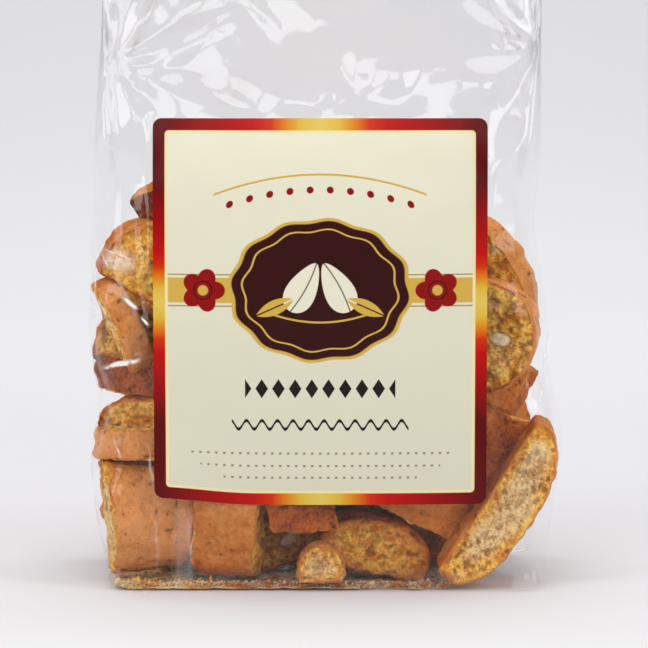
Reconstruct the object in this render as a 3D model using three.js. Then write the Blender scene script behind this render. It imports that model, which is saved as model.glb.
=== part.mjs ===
// A clear block-bottom bag filled with almond biscuits, heat-sealed flat across the top, with a paper
// label on its front. The bag is modelled as the closed solid of its outer shape: a flat base, walls
// that bulge where the biscuits press against the film, a headspace that leans in to the seal, gusset
// folds down both sides of the headspace, and the thin crimped band of the seal itself.
//
// Frame: millimetres, +X to the right of the front face, +Y to the back, +Z up. The origin is the
// centre of the base of the box that holds the whole part.
import * as THREE from "three";

// ---- Driving dimensions of the bag
const BAG_HEIGHT = 225; // base to the top edge of the seal
const SEAL_HEIGHT = 12; // height of the crimped band
const SEAL_THICKNESS = 1.6;
const SEAL_CORNER = 0.4;
const SEAL_SETBACK = -5; // depth of the band's middle, in front of the middle of the base
const SHOULDER_HEIGHT = 1.6; // the walls still part by this much just below the band
const SHOULDER_HALF_DEPTH = 1.5;
const SEAL_WAVE = 3.2; // how far the band snakes to the front and back
const WAVE_TURNS = 0.9; // waves of it across the width
const WAVE_START = 0.5; // in radians, at the middle
const FLAT_HALF_WIDTH = 66.5; // half the width of the film laid flat
const FILL_HEIGHT = 118; // top of the biscuits
const GUSSET_DEPTH = 21; // how far the side gussets fold in at the seal
const FRONT_BULGE = 4.2; // crown of the front panel, where the label sits
const BACK_BULGE = 4.5;
const SIDE_BULGE = 2.2;
const CROWN_SHARPNESS = 2.4; // power of the curve across a crowned panel

const SEAL_FROM = BAG_HEIGHT - SEAL_HEIGHT;

// A flat station at or just below the seal, with its front and back this far from its middle.
function sealStation(z, halfDepth, r) {
  const [front, back] = [SEAL_SETBACK - halfDepth, SEAL_SETBACK + halfDepth];
  return { z, x: 0, a: FLAT_HALF_WIDTH, front, back, r };
}

// Stations up the bag: height, middle, half width, front face, back face and corner radius.
const STATIONS = [
  { z: 0, x: 1.2, a: 63.6, front: -28.5, back: 27.5, r: 5 },
  { z: 2.5, x: 1.2, a: 67.2, front: -31, back: 30, r: 7 },
  { z: 18, x: 0.6, a: 71.4, front: -32, back: 32, r: 12 },
  { z: 42, x: 1, a: 70.8, front: -32.5, back: 33, r: 14 },
  { z: 84, x: -1.2, a: 69.6, front: -33, back: 33, r: 16 },
  { z: FILL_HEIGHT, x: -1.8, a: 68.2, front: -31.5, back: 29.5, r: 13 },
  { z: 146, x: -1.2, a: 67.3, front: -27, back: 19, r: 6 },
  { z: 178, x: 0, a: FLAT_HALF_WIDTH, front: -17.5, back: 7, r: 2.4 },
  sealStation(SEAL_FROM - SHOULDER_HEIGHT, SHOULDER_HALF_DEPTH, 0.7),
  sealStation(SEAL_FROM, SEAL_THICKNESS / 2, SEAL_CORNER),
  sealStation(BAG_HEIGHT, SEAL_THICKNESS / 2, SEAL_CORNER),
];

// Places where a biscuit's end or edge presses the film out, or a gap between biscuits lets it fall
// in: a point on the wall, the reach of the bump, and its height (negative for a hollow).
const PRESSES = [
  { at: [-72, -14, 37], reach: 14, out: 2.8 },
  { at: [-71, -16, 57], reach: 10, out: -4.2 },
  { at: [-70, -12, 79], reach: 17, out: 2.4 },
  { at: [-67, -8, 106], reach: 11, out: 1.8 },
  { at: [-70, 16, 24], reach: 14, out: 2.4 },
  { at: [-70, 18, 66], reach: 15, out: 2.8 },
  { at: [-70, 14, 96], reach: 11, out: -2.4 },
  { at: [72, -14, 45], reach: 18, out: 3.6 },
  { at: [70, -14, 68], reach: 8, out: -2.6 },
  { at: [70, -10, 82], reach: 12, out: 1.6 },
  { at: [70, -8, 102], reach: 12, out: -2.2 },
  { at: [70, 18, 28], reach: 14, out: 2.2 },
  { at: [70, 18, 54], reach: 10, out: -2.4 },
  { at: [70, 16, 88], reach: 16, out: 2.6 },
  { at: [-44, 36, 30], reach: 17, out: 3.2 },
  { at: [-10, 38, 22], reach: 12, out: -2.6 },
  { at: [26, 38, 34], reach: 18, out: 3.0 },
  { at: [-22, 38, 62], reach: 17, out: 2.6 },
  { at: [14, 38, 70], reach: 13, out: -2.8 },
  { at: [46, 36, 74], reach: 16, out: 3.2 },
  { at: [-46, 36, 88], reach: 13, out: -2.4 },
  { at: [-8, 37, 98], reach: 16, out: 2.6 },
  { at: [30, 36, 104], reach: 12, out: -2.0 },
  { at: [-30, -33, 10], reach: 11, out: 1.6 },
  { at: [34, -33, 9], reach: 13, out: 1.8 },
];

// Soft folds that the pull of the seal leaves across the headspace: the height of a triangle wave,
// its wavelength, the way it runs across the panel, and where along that way it starts.
const FOLDS = [
  { height: 0.9, wavelength: 47, direction: 62, start: 6 },
  { height: 0.7, wavelength: 31, direction: -38, start: 15 },
  { height: 0.5, wavelength: 23, direction: 12, start: 4 },
];

// Heights between which each form fades in, and between which it fades out again.
const CROWN_FADE = { in: [0, 40], out: [FILL_HEIGHT + 10, SEAL_FROM - 22] };
const GUSSET_FADE = { in: [FILL_HEIGHT + 4, SEAL_FROM - 14], flat: SEAL_FROM - 1 };
const WAVE_FADE = { in: [150, SEAL_FROM] };
const PRESS_FADE = { in: [1, 12], out: [SEAL_FROM - 30, SEAL_FROM - 6] };
const FOLD_FADE = { in: [140, 158], out: [SEAL_FROM - 16, SEAL_FROM - 3] };

// ---- Driving dimensions of the label
const LABEL_WIDTH = 100;
const LABEL_HEIGHT = 116;
const LABEL_CENTRE_X = -0.6;
const LABEL_BOTTOM = 28;
const LABEL_THICKNESS = 0.4;
const LABEL_GAP = 0.3; // kept clear between the bag's wall and the label
const LABEL_CORNER = 2.6;
const LABEL_MARGIN = [0.5, 9]; // the wall's bumps fade out between these distances from the label

// ---- Mesh density
const FRONT_STEPS = 28;
const CORNER_STEPS = 4;
const SIDE_STEPS = 12;
const FOOT_ROWS = [0, 1, 2.5, 6]; // heights of the closer rows round the foot
const ROW_STEP = 6.2;
const SEAL_ROWS = 2;
const LABEL_COLUMNS = 18;
const LABEL_ROWS = 20;
const LABEL_CORNER_ROWS = 3;

// Cubic interpolation between stations that never overshoots them.
function smoothProfile(key) {
  const z = STATIONS.map((s) => s.z);
  const v = STATIONS.map((s) => s[key]);
  const slope = z.slice(1).map((_, i) => (v[i + 1] - v[i]) / (z[i + 1] - z[i]));
  const tangent = v.map((_, i) => {
    if (i === 0) return slope[0];
    if (i === v.length - 1) return slope[i - 1];
    const [p, q] = [slope[i - 1], slope[i]];
    return p * q <= 0 ? 0 : (2 * p * q) / (p + q);
  });
  return (at) => {
    const i = Math.max(0, Math.min(z.length - 2, z.findIndex((h) => h > at) - 1));
    const k = at >= z[z.length - 1] ? z.length - 2 : i;
    const h = z[k + 1] - z[k];
    const t = THREE.MathUtils.clamp((at - z[k]) / h, 0, 1);
    const [t2, t3] = [t * t, t * t * t];
    return (
      v[k] * (2 * t3 - 3 * t2 + 1) +
      tangent[k] * h * (t3 - 2 * t2 + t) +
      v[k + 1] * (3 * t2 - 2 * t3) +
      tangent[k + 1] * h * (t3 - t2)
    );
  };
}

const middleAt = smoothProfile("x");
const halfWidthAt = smoothProfile("a");
const frontAt = smoothProfile("front");
const backAt = smoothProfile("back");
const cornerAt = smoothProfile("r");

// Smooth step from 0 to 1 between two heights or distances.
const rise = (z, from, to) => THREE.MathUtils.smoothstep(z, from, to);

// Share of a form that is there at a height, from where it fades in and out.
const shareAt = (z, fade) => rise(z, ...fade.in) * (fade.out ? 1 - rise(z, ...fade.out) : 1);

// Depth of the side gusset's fold. The seal presses it flat.
function gussetAt(z) {
  return z >= GUSSET_FADE.flat ? 0 : GUSSET_DEPTH * shareAt(z, GUSSET_FADE);
}

// How far the walls lean to follow the snaking seal: just under one wave across its width.
function waveAt(x, z) {
  const along = WAVE_TURNS * Math.PI * (x / FLAT_HALF_WIDTH) + WAVE_START;
  return SEAL_WAVE * Math.sin(along) * shareAt(z, WAVE_FADE);
}

// 0 under the label and 1 away from it, so that the label lies on a smooth wall.
function clearOfLabel(x, y, z) {
  if (y > 0) return 1;
  const dx = Math.abs(x - LABEL_CENTRE_X) - LABEL_WIDTH / 2;
  const dz = Math.abs(z - LABEL_BOTTOM - LABEL_HEIGHT / 2) - LABEL_HEIGHT / 2;
  return rise(Math.max(dx, dz), ...LABEL_MARGIN);
}

function pressAt(x, y, z) {
  const here = new THREE.Vector3(x, y, z);
  return PRESSES.reduce((sum, press) => {
    const away = here.distanceTo(new THREE.Vector3(...press.at)) / press.reach;
    return sum + press.out * Math.exp(-away * away);
  }, 0);
}

// Wave of straight slopes and sharp turns, between -1 and 1.
const triangleWave = (t) => 4 * Math.abs(t - Math.floor(t + 0.5)) - 1;

function foldAt(x, y, z) {
  const amount = shareAt(z, FOLD_FADE);
  const side = y < 0 ? 1 : -1;
  return FOLDS.reduce((sum, fold) => {
    const turn = THREE.MathUtils.degToRad(fold.direction * side);
    const along = x * Math.cos(turn) + z * Math.sin(turn) + fold.start;
    return sum + amount * fold.height * triangleWave(along / fold.wavelength);
  }, 0);
}

// A point of the bag's wall before its bumps, with the way out of the wall there. The wall is a
// rounded rectangle at each height, with crowned panels and a fold down the middle of each side.
function wallPoint(panel, t, z) {
  const [a, front, back, r] = [halfWidthAt(z), frontAt(z), backAt(z), cornerAt(z)];
  const [centreX, middle, b] = [middleAt(z), (front + back) / 2, (back - front) / 2];
  const crown = shareAt(z, CROWN_FADE);
  if (panel === "front" || panel === "back") {
    const way = panel === "front" ? -1 : 1;
    const across = 1 - Math.abs(t) ** CROWN_SHARPNESS;
    const bulge = (way < 0 ? FRONT_BULGE : BACK_BULGE) * crown * across;
    const x = centreX - way * t * (a - r);
    return { point: [x, middle + way * (b + bulge)], out: [0, way] };
  }
  if (panel === "right" || panel === "left") {
    const way = panel === "right" ? 1 : -1;
    const bulge = SIDE_BULGE * crown * (1 - t * t) - gussetAt(z) * (1 - Math.abs(t));
    return { point: [centreX + way * (a + bulge), middle + way * t * (b - r)], out: [way, 0] };
  }
  const turn = THREE.MathUtils.degToRad({ c0: -90, c1: 0, c2: 90, c3: 180 }[panel] + 90 * t);
  const centre = { c0: [1, -1], c1: [1, 1], c2: [-1, 1], c3: [-1, -1] }[panel];
  const out = [Math.cos(turn), Math.sin(turn)];
  return {
    point: [centreX + centre[0] * (a - r) + r * out[0], middle + centre[1] * (b - r) + r * out[1]],
    out,
  };
}

// The finished wall: bumps from the biscuits, folds in the headspace, and the lean of the seal.
function finishedPoint(panel, t, z) {
  const { point, out } = wallPoint(panel, t, z);
  const [x, y] = point;
  const flat = panel === "front" || panel === "back" ? 1 - t ** 8 : 0;
  const pressed = pressAt(x, y, z) * shareAt(z, PRESS_FADE) * clearOfLabel(x, y, z);
  const bump = pressed + foldAt(x, y, z) * flat;
  return new THREE.Vector3(x + out[0] * bump, y + out[1] * bump + waveAt(x, z), z);
}

// Panels in order round the bag, seen from above against the clock, from the front left corner.
function ringPlan() {
  const plan = [];
  const panels = [
    ["front", FRONT_STEPS],
    ["c0", CORNER_STEPS],
    ["right", SIDE_STEPS],
    ["c1", CORNER_STEPS],
    ["back", FRONT_STEPS],
    ["c2", CORNER_STEPS],
    ["left", SIDE_STEPS],
    ["c3", CORNER_STEPS],
  ];
  for (const [panel, steps] of panels)
    for (let i = 0; i < steps; i++)
      plan.push([panel, panel.startsWith("c") ? i / steps : (2 * i) / steps - 1]);
  return plan;
}

function rowHeights() {
  const heights = [...FOOT_ROWS];
  const from = FOOT_ROWS[FOOT_ROWS.length - 1];
  const rise = SEAL_FROM - SHOULDER_HEIGHT - from;
  const rows = Math.round(rise / ROW_STEP);
  for (let i = 1; i <= rows; i++) heights.push(from + (rise * i) / rows);
  for (let i = 0; i <= SEAL_ROWS; i++) heights.push(SEAL_FROM + (SEAL_HEIGHT * i) / SEAL_ROWS);
  return heights;
}

// The wall between rings of points, with its two ends left open.
function loft(rings) {
  const points = rings.flat();
  const count = rings[0].length;
  const faces = [];
  for (let k = 0; k + 1 < rings.length; k++)
    for (let i = 0; i < count; i++) {
      const j = (i + 1) % count;
      const [p, q, s, w] = [k * count + i, k * count + j, (k + 1) * count + j, (k + 1) * count + i];
      faces.push(p, q, s, p, s, w);
    }
  return { points, faces, count };
}

function indexedGeometry(points, faces) {
  const geometry = new THREE.BufferGeometry();
  geometry.setAttribute(
    "position",
    new THREE.Float32BufferAttribute(points.flatMap((p) => [p.x, p.y, p.z]), 3),
  );
  geometry.setIndex(faces);
  geometry.computeVertexNormals();
  return geometry;
}

function makeBag() {
  const plan = ringPlan();
  const rings = rowHeights().map((z) => plan.map(([panel, t]) => finishedPoint(panel, t, z)));
  const { points, faces, count } = loft(rings);
  const middleOf = (ring) =>
    ring.reduce((sum, p) => sum.add(p), new THREE.Vector3()).multiplyScalar(1 / ring.length);
  const base = points.push(middleOf(rings[0])) - 1;
  for (let i = 0; i < count; i++) faces.push(base, (i + 1) % count, i);
  stripLid(faces, (rings.length - 1) * count);
  return indexedGeometry(points, faces);
}

// Closes the thin top edge of the seal by strips from its front to its back.
function stripLid(faces, first) {
  const frontOf = (i) => first + i;
  const backStart = FRONT_STEPS + 2 * CORNER_STEPS + SIDE_STEPS;
  const backOf = (i) => first + backStart + FRONT_STEPS - i;
  for (let i = 0; i < FRONT_STEPS; i++) {
    const [p, q, s, w] = [frontOf(i), frontOf(i + 1), backOf(i + 1), backOf(i)];
    faces.push(p, q, s, p, s, w);
  }
  const total = 2 * backStart;
  const closeEnd = (from, to) => {
    for (let i = from + 1; i < to; i++)
      faces.push(first + from, first + i, first + ((i + 1) % total));
  };
  closeEnd(FRONT_STEPS, backStart);
  closeEnd(backStart + FRONT_STEPS, total);
}

// The front wall's depth at a place on the front panel.
function frontWall(x, z) {
  const t = THREE.MathUtils.clamp((x - middleAt(z)) / (halfWidthAt(z) - cornerAt(z)), -1, 1);
  return finishedPoint("front", t, z).y;
}

// Heights of the label's rows, with how far each stops short of the sides at the rounded corners.
function labelRows() {
  const [low, high] = [LABEL_BOTTOM, LABEL_BOTTOM + LABEL_HEIGHT];
  const corner = Array.from({ length: LABEL_CORNER_ROWS }, (_, i) => {
    const turn = (i / LABEL_CORNER_ROWS) * (Math.PI / 2);
    return { up: LABEL_CORNER * (1 - Math.cos(turn)), inset: LABEL_CORNER * (1 - Math.sin(turn)) };
  });
  const straight = LABEL_HEIGHT - 2 * LABEL_CORNER;
  const middle = Array.from({ length: LABEL_ROWS + 1 }, (_, i) => ({
    z: low + LABEL_CORNER + (straight * i) / LABEL_ROWS,
    inset: 0,
  }));
  return [
    ...corner.map(({ up, inset }) => ({ z: low + up, inset })),
    ...middle,
    ...corner.toReversed().map(({ up, inset }) => ({ z: high - up, inset })),
  ];
}

// The label: a thin plate that follows the front wall, with an outer and an inner layer of points.
function makeLabel() {
  const rowsAt = labelRows();
  const columns = LABEL_COLUMNS + 1;
  const layer = (depth) =>
    rowsAt.flatMap(({ z, inset }) => {
      const half = LABEL_WIDTH / 2 - inset;
      return Array.from({ length: columns }, (_, i) => {
        const x = LABEL_CENTRE_X + half * ((2 * i) / LABEL_COLUMNS - 1);
        return new THREE.Vector3(x, frontWall(x, z) - depth, z);
      });
    });
  const outer = layer(LABEL_GAP + LABEL_THICKNESS);
  const inner = layer(LABEL_GAP);
  const shift = outer.length;
  const faces = [];
  for (let k = 0; k + 1 < rowsAt.length; k++)
    for (let i = 0; i < LABEL_COLUMNS; i++) {
      const [p, q, s, w] = [
        k * columns + i,
        k * columns + i + 1,
        (k + 1) * columns + i + 1,
        (k + 1) * columns + i,
      ];
      faces.push(p, q, s, p, s, w);
      faces.push(shift + p, shift + s, shift + q, shift + p, shift + w, shift + s);
    }
  const rim = [];
  const last = rowsAt.length - 1;
  for (let i = 0; i < LABEL_COLUMNS; i++) rim.push(i);
  for (let k = 0; k < last; k++) rim.push(k * columns + LABEL_COLUMNS);
  for (let i = LABEL_COLUMNS; i > 0; i--) rim.push(last * columns + i);
  for (let k = last; k > 0; k--) rim.push(k * columns);
  rim.forEach((p, i) => {
    const q = rim[(i + 1) % rim.length];
    faces.push(q, p, shift + p, q, shift + p, shift + q);
  });
  return indexedGeometry([...outer, ...inner], faces);
}

function makePart() {
  const part = new THREE.Group();
  const bag = new THREE.Mesh(
    makeBag(),
    new THREE.MeshStandardMaterial({ color: 0xc99a5e, roughness: 0.35, metalness: 0 }),
  );
  bag.name = "bag";
  const label = new THREE.Mesh(
    makeLabel(),
    new THREE.MeshStandardMaterial({ color: 0xe2dcc0, roughness: 0.5, metalness: 0 }),
  );
  label.name = "label";
  part.add(bag, label);
  const box = new THREE.Box3().setFromObject(part);
  const centre = box.getCenter(new THREE.Vector3());
  part.position.set(-centre.x, -centre.y, -box.min.z);
  return part;
}

export default makePart();
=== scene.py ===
"""A clear block-bottom bag of almond biscotti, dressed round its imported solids.

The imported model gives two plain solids, the bag and its label. Here the bag becomes clear film over a
heap of separate biscotti, with almonds in their cut faces and crumbs on the bottom, and the label
becomes printed paper. Lengths are metres: sizes given in millimetres are multiplied by MM.
"""
import logging
import math
from contextlib import contextmanager
from dataclasses import dataclass, field
from enum import Enum
from itertools import combinations
from typing import Callable, Iterator, Sequence

import bpy
import numpy as np
from mathutils import Matrix, Vector
from mathutils.bvhtree import BVHTree


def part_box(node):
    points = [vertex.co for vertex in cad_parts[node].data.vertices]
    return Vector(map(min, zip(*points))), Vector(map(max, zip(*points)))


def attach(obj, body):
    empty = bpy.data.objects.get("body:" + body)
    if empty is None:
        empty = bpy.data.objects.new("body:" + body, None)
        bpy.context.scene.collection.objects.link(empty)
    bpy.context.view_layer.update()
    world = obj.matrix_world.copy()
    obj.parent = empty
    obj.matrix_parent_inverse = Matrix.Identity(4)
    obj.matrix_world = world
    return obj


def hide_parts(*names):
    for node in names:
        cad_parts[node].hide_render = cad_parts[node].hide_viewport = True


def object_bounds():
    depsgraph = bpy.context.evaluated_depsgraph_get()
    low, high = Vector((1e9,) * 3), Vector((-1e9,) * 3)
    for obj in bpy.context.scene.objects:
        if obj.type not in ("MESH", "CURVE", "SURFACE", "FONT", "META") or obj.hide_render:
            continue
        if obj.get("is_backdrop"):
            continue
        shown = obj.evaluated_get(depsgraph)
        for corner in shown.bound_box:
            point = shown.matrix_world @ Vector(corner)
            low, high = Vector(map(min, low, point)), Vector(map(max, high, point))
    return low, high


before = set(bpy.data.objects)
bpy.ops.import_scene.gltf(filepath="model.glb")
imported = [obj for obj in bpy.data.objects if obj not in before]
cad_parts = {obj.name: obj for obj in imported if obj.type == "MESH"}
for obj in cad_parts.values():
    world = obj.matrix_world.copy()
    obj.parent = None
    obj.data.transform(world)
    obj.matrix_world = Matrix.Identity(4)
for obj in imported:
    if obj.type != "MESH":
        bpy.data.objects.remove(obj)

CAD_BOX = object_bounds()
MM = 0.001
log = logging.getLogger("biscotti")

Colour = tuple[float, float, float, float]


def srgb(red: int, green: int, blue: int) -> Colour:
    """A colour given as 0 to 255 on screen, as the linear colour that shaders take."""
    parts = (c / 255 for c in (red, green, blue))
    return (*(c / 12.92 if c <= 0.04045 else ((c + 0.055) / 1.055) ** 2.4 for c in parts), 1.0)


def smooth(values: np.ndarray, low: float, high: float) -> np.ndarray:
    """Smooth step from 0 at low to 1 at high.

    Args:
        values: Numbers of any shape.
        low: Where the step starts.
        high: Where it ends; below low for a step that falls.

    Returns:
        The step's height at each value.
    """
    share = np.clip((values - low) / (high - low), 0.0, 1.0)
    return share * share * (3.0 - 2.0 * share)


def zigzag(values: np.ndarray) -> np.ndarray:
    """Straight-sided wave from -1 to 1 that repeats every 1."""
    return 4.0 * np.abs(values - np.floor(values + 0.5)) - 1.0


def cell_corners(share: np.ndarray) -> Iterator[tuple[np.ndarray, np.ndarray]]:
    """The corners of the grid cells that points lie in, for a blend over each cell.

    Args:
        share: How far along its cell each point lies, from 0 to 1, one row each.

    Yields:
        A corner's steps from the cell's first corner, and its weight at each point.
    """
    for corner in range(8):
        step = np.array([corner & 1, corner >> 1 & 1, corner >> 2 & 1])
        yield step, np.where(step, share, 1.0 - share).prod(axis=1)


# ---- Modelling helpers


def pick(obj: bpy.types.Object) -> None:
    """Selects one object alone and makes it the active one."""
    bpy.ops.object.select_all(action="DESELECT")
    obj.select_set(True)
    bpy.context.view_layer.objects.active = obj


@contextmanager
def editing(obj: bpy.types.Object) -> Iterator[None]:
    """Edit mode on one object, for the operators inside the with block."""
    pick(obj)
    bpy.ops.object.mode_set(mode="EDIT")
    yield
    bpy.ops.object.mode_set(mode="OBJECT")


def settle_place(obj: bpy.types.Object) -> None:
    """Moves an object's place, turn and scale into its mesh."""
    pick(obj)
    bpy.ops.object.transform_apply(location=True, rotation=True, scale=True)


def modify(obj: bpy.types.Object, kind: str, **settings: object) -> None:
    """Adds a modifier and applies it.

    Args:
        obj: The object to change.
        kind: The modifier's type.
        settings: Its settings by name.
    """
    pick(obj)
    made = obj.modifiers.new(kind.lower(), kind)
    for key, value in settings.items():
        setattr(made, key, value)
    bpy.ops.object.modifier_apply(modifier=made.name)


def rows_of(items: bpy.types.bpy_prop_collection, key: str) -> np.ndarray:
    """One vector of each item of a mesh, one row each."""
    flat = np.empty(len(items) * 3)
    items.foreach_get(key, flat)
    return flat.reshape(-1, 3)


def points_of(obj: bpy.types.Object) -> np.ndarray:
    """The vertices of a mesh object, one row each."""
    return rows_of(obj.data.vertices, "co")


def normals_of(obj: bpy.types.Object) -> np.ndarray:
    """The vertex normals of a mesh object, one row each."""
    return rows_of(obj.data.vertex_normals, "vector")


def faces_of(obj: bpy.types.Object, corners: int) -> np.ndarray:
    """The vertex numbers of a mesh object's faces, which all have that many corners."""
    flat = np.empty(len(obj.data.loops), int)
    obj.data.loops.foreach_get("vertex_index", flat)
    return flat.reshape(-1, corners)


def set_points(obj: bpy.types.Object, points: np.ndarray) -> None:
    """Puts the vertices of a mesh object at new places."""
    obj.data.vertices.foreach_set("co", points.ravel())
    obj.data.update()


def paint(obj: bpy.types.Object, name: str, values: np.ndarray) -> None:
    """Stores a number or a vector for each vertex, for the materials to read."""
    vector = values.ndim == 2
    layer = obj.data.attributes.new(name, "FLOAT_VECTOR" if vector else "FLOAT", "POINT")
    layer.data.foreach_set("vector" if vector else "value", values.astype(np.float32).ravel())


def shade(obj: bpy.types.Object, material: bpy.types.Material) -> None:
    """Gives a piece its one material and smooth shading."""
    obj.data.materials.clear()
    obj.data.materials.append(material)
    pick(obj)
    bpy.ops.object.shade_smooth()


def register(obj: bpy.types.Object, node: str | None = None) -> None:
    """Rides a finished piece on the part, hides the CAD node that it stands for, and logs it.

    Args:
        obj: The piece.
        node: The CAD node that it stands for, if any.
    """
    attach(obj, "root")
    if node:
        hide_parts(node)
    log.info("%s: %d faces", obj.name, len(obj.data.polygons))


def add_object(name: str, data: bpy.types.ID) -> bpy.types.Object:
    """A new object in the scene, with that mesh, lamp or camera."""
    obj = bpy.data.objects.new(name, data)
    bpy.context.collection.objects.link(obj)
    return obj


def aim(obj: bpy.types.Object, at: Sequence[float], target: Sequence[float]) -> None:
    """Puts a lamp or the camera at one point and turns it to look at another."""
    obj.location = at
    obj.rotation_euler = (Vector(target) - Vector(at)).to_track_quat("-Z", "Y").to_euler()


@dataclass
class Grain:
    """Smooth random fields over points, from a hash of the whole numbers round them."""

    seed: int
    TURN = np.array(Matrix.Rotation(0.9, 3, Vector((0.5, 0.7, 0.4))))  # off the slices' own axes

    def _hash(self, cells: np.ndarray) -> np.ndarray:
        """A number from -1 to 1 for each row of whole numbers."""
        mask = 0xFFFFFFFF
        mixed = (cells[:, 0] * 73856093) ^ (cells[:, 1] * 19349663) ^ (cells[:, 2] * 83492791)
        mixed = (mixed ^ (self.seed * 2654435761)) & mask
        mixed = ((mixed ^ (mixed >> 13)) * 1274126177) & mask
        mixed = ((mixed ^ (mixed >> 15)) * 2246822519) & mask
        return (mixed ^ (mixed >> 16)) / mask * 2.0 - 1.0

    def at(self, points: np.ndarray, size: float) -> np.ndarray:
        """The field at some points.

        Args:
            points: One row each.
            size: The width of its bumps, in the points' unit.

        Returns:
            Numbers from -1 to 1.
        """
        scaled = points @ self.TURN / size
        cell = np.floor(scaled).astype(np.int64)
        total = np.zeros(len(points))
        for step, weight in cell_corners(smooth(scaled - cell, 0.0, 1.0)):
            total += weight * self._hash(cell + step)
        return total

    def rough(self, points: np.ndarray, size: float, octaves: int = 3) -> np.ndarray:
        """The field with finer copies of itself on top, each half the width and height."""
        layers = (self.at(points + 7.3 * k, size / 2**k) / 2**k for k in range(octaves))
        return sum(layers, np.zeros(len(points)))


# ---- Shaders


def maths(operation: str, swapped: bool = False) -> Callable[..., "Sock"]:
    """An operator of Sock, which adds one Math node.

    Args:
        operation: The node's operation.
        swapped: Whether the socket comes after the other value, as in 1 - mask.

    Returns:
        The method that stands for the operator.
    """

    def operator(sock: "Sock", *others: "Sock | float") -> "Sock":
        """Adds the node with these values in order."""
        values = (*others, sock) if swapped else (sock, *others)
        settings = {"operation": operation}
        return sock.shader.sock("ShaderNodeMath", settings, dict(enumerate(values)))

    return operator


class Sock:
    """A shader output that Python's operators work on, each by adding its Math node."""

    __add__ = __radd__ = maths("ADD")
    __sub__ = maths("SUBTRACT")
    __rsub__ = maths("SUBTRACT", swapped=True)
    __mul__ = __rmul__ = maths("MULTIPLY")
    __truediv__ = maths("DIVIDE")
    __pow__ = maths("POWER")
    __abs__ = maths("ABSOLUTE")
    least = maths("MINIMUM")
    most = maths("MAXIMUM")
    root = maths("SQRT")
    wave = maths("SINE")
    past_whole = maths("FRACT")
    angle_to = maths("ARCTAN2")  # its sine goes with this value and its cosine with the other

    def __init__(self, shader: "Shader", socket: bpy.types.NodeSocket) -> None:
        """Wraps one output socket of a shader's tree."""
        self.shader = shader
        self.socket = socket

    def repeat(self, width: float) -> "Sock":
        """Distance from the middle of the stripe of that width that the value lies in."""
        return abs((self / width).past_whole() - 0.5) * width

    def step(self, low: float, high: float) -> "Sock":
        """Smooth step from 0 at low to 1 at high."""
        settings = {"interpolation_type": "SMOOTHSTEP"}
        inputs = {"Value": self, "From Min": low, "From Max": high}
        return self.shader.sock("ShaderNodeMapRange", settings, inputs)


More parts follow.
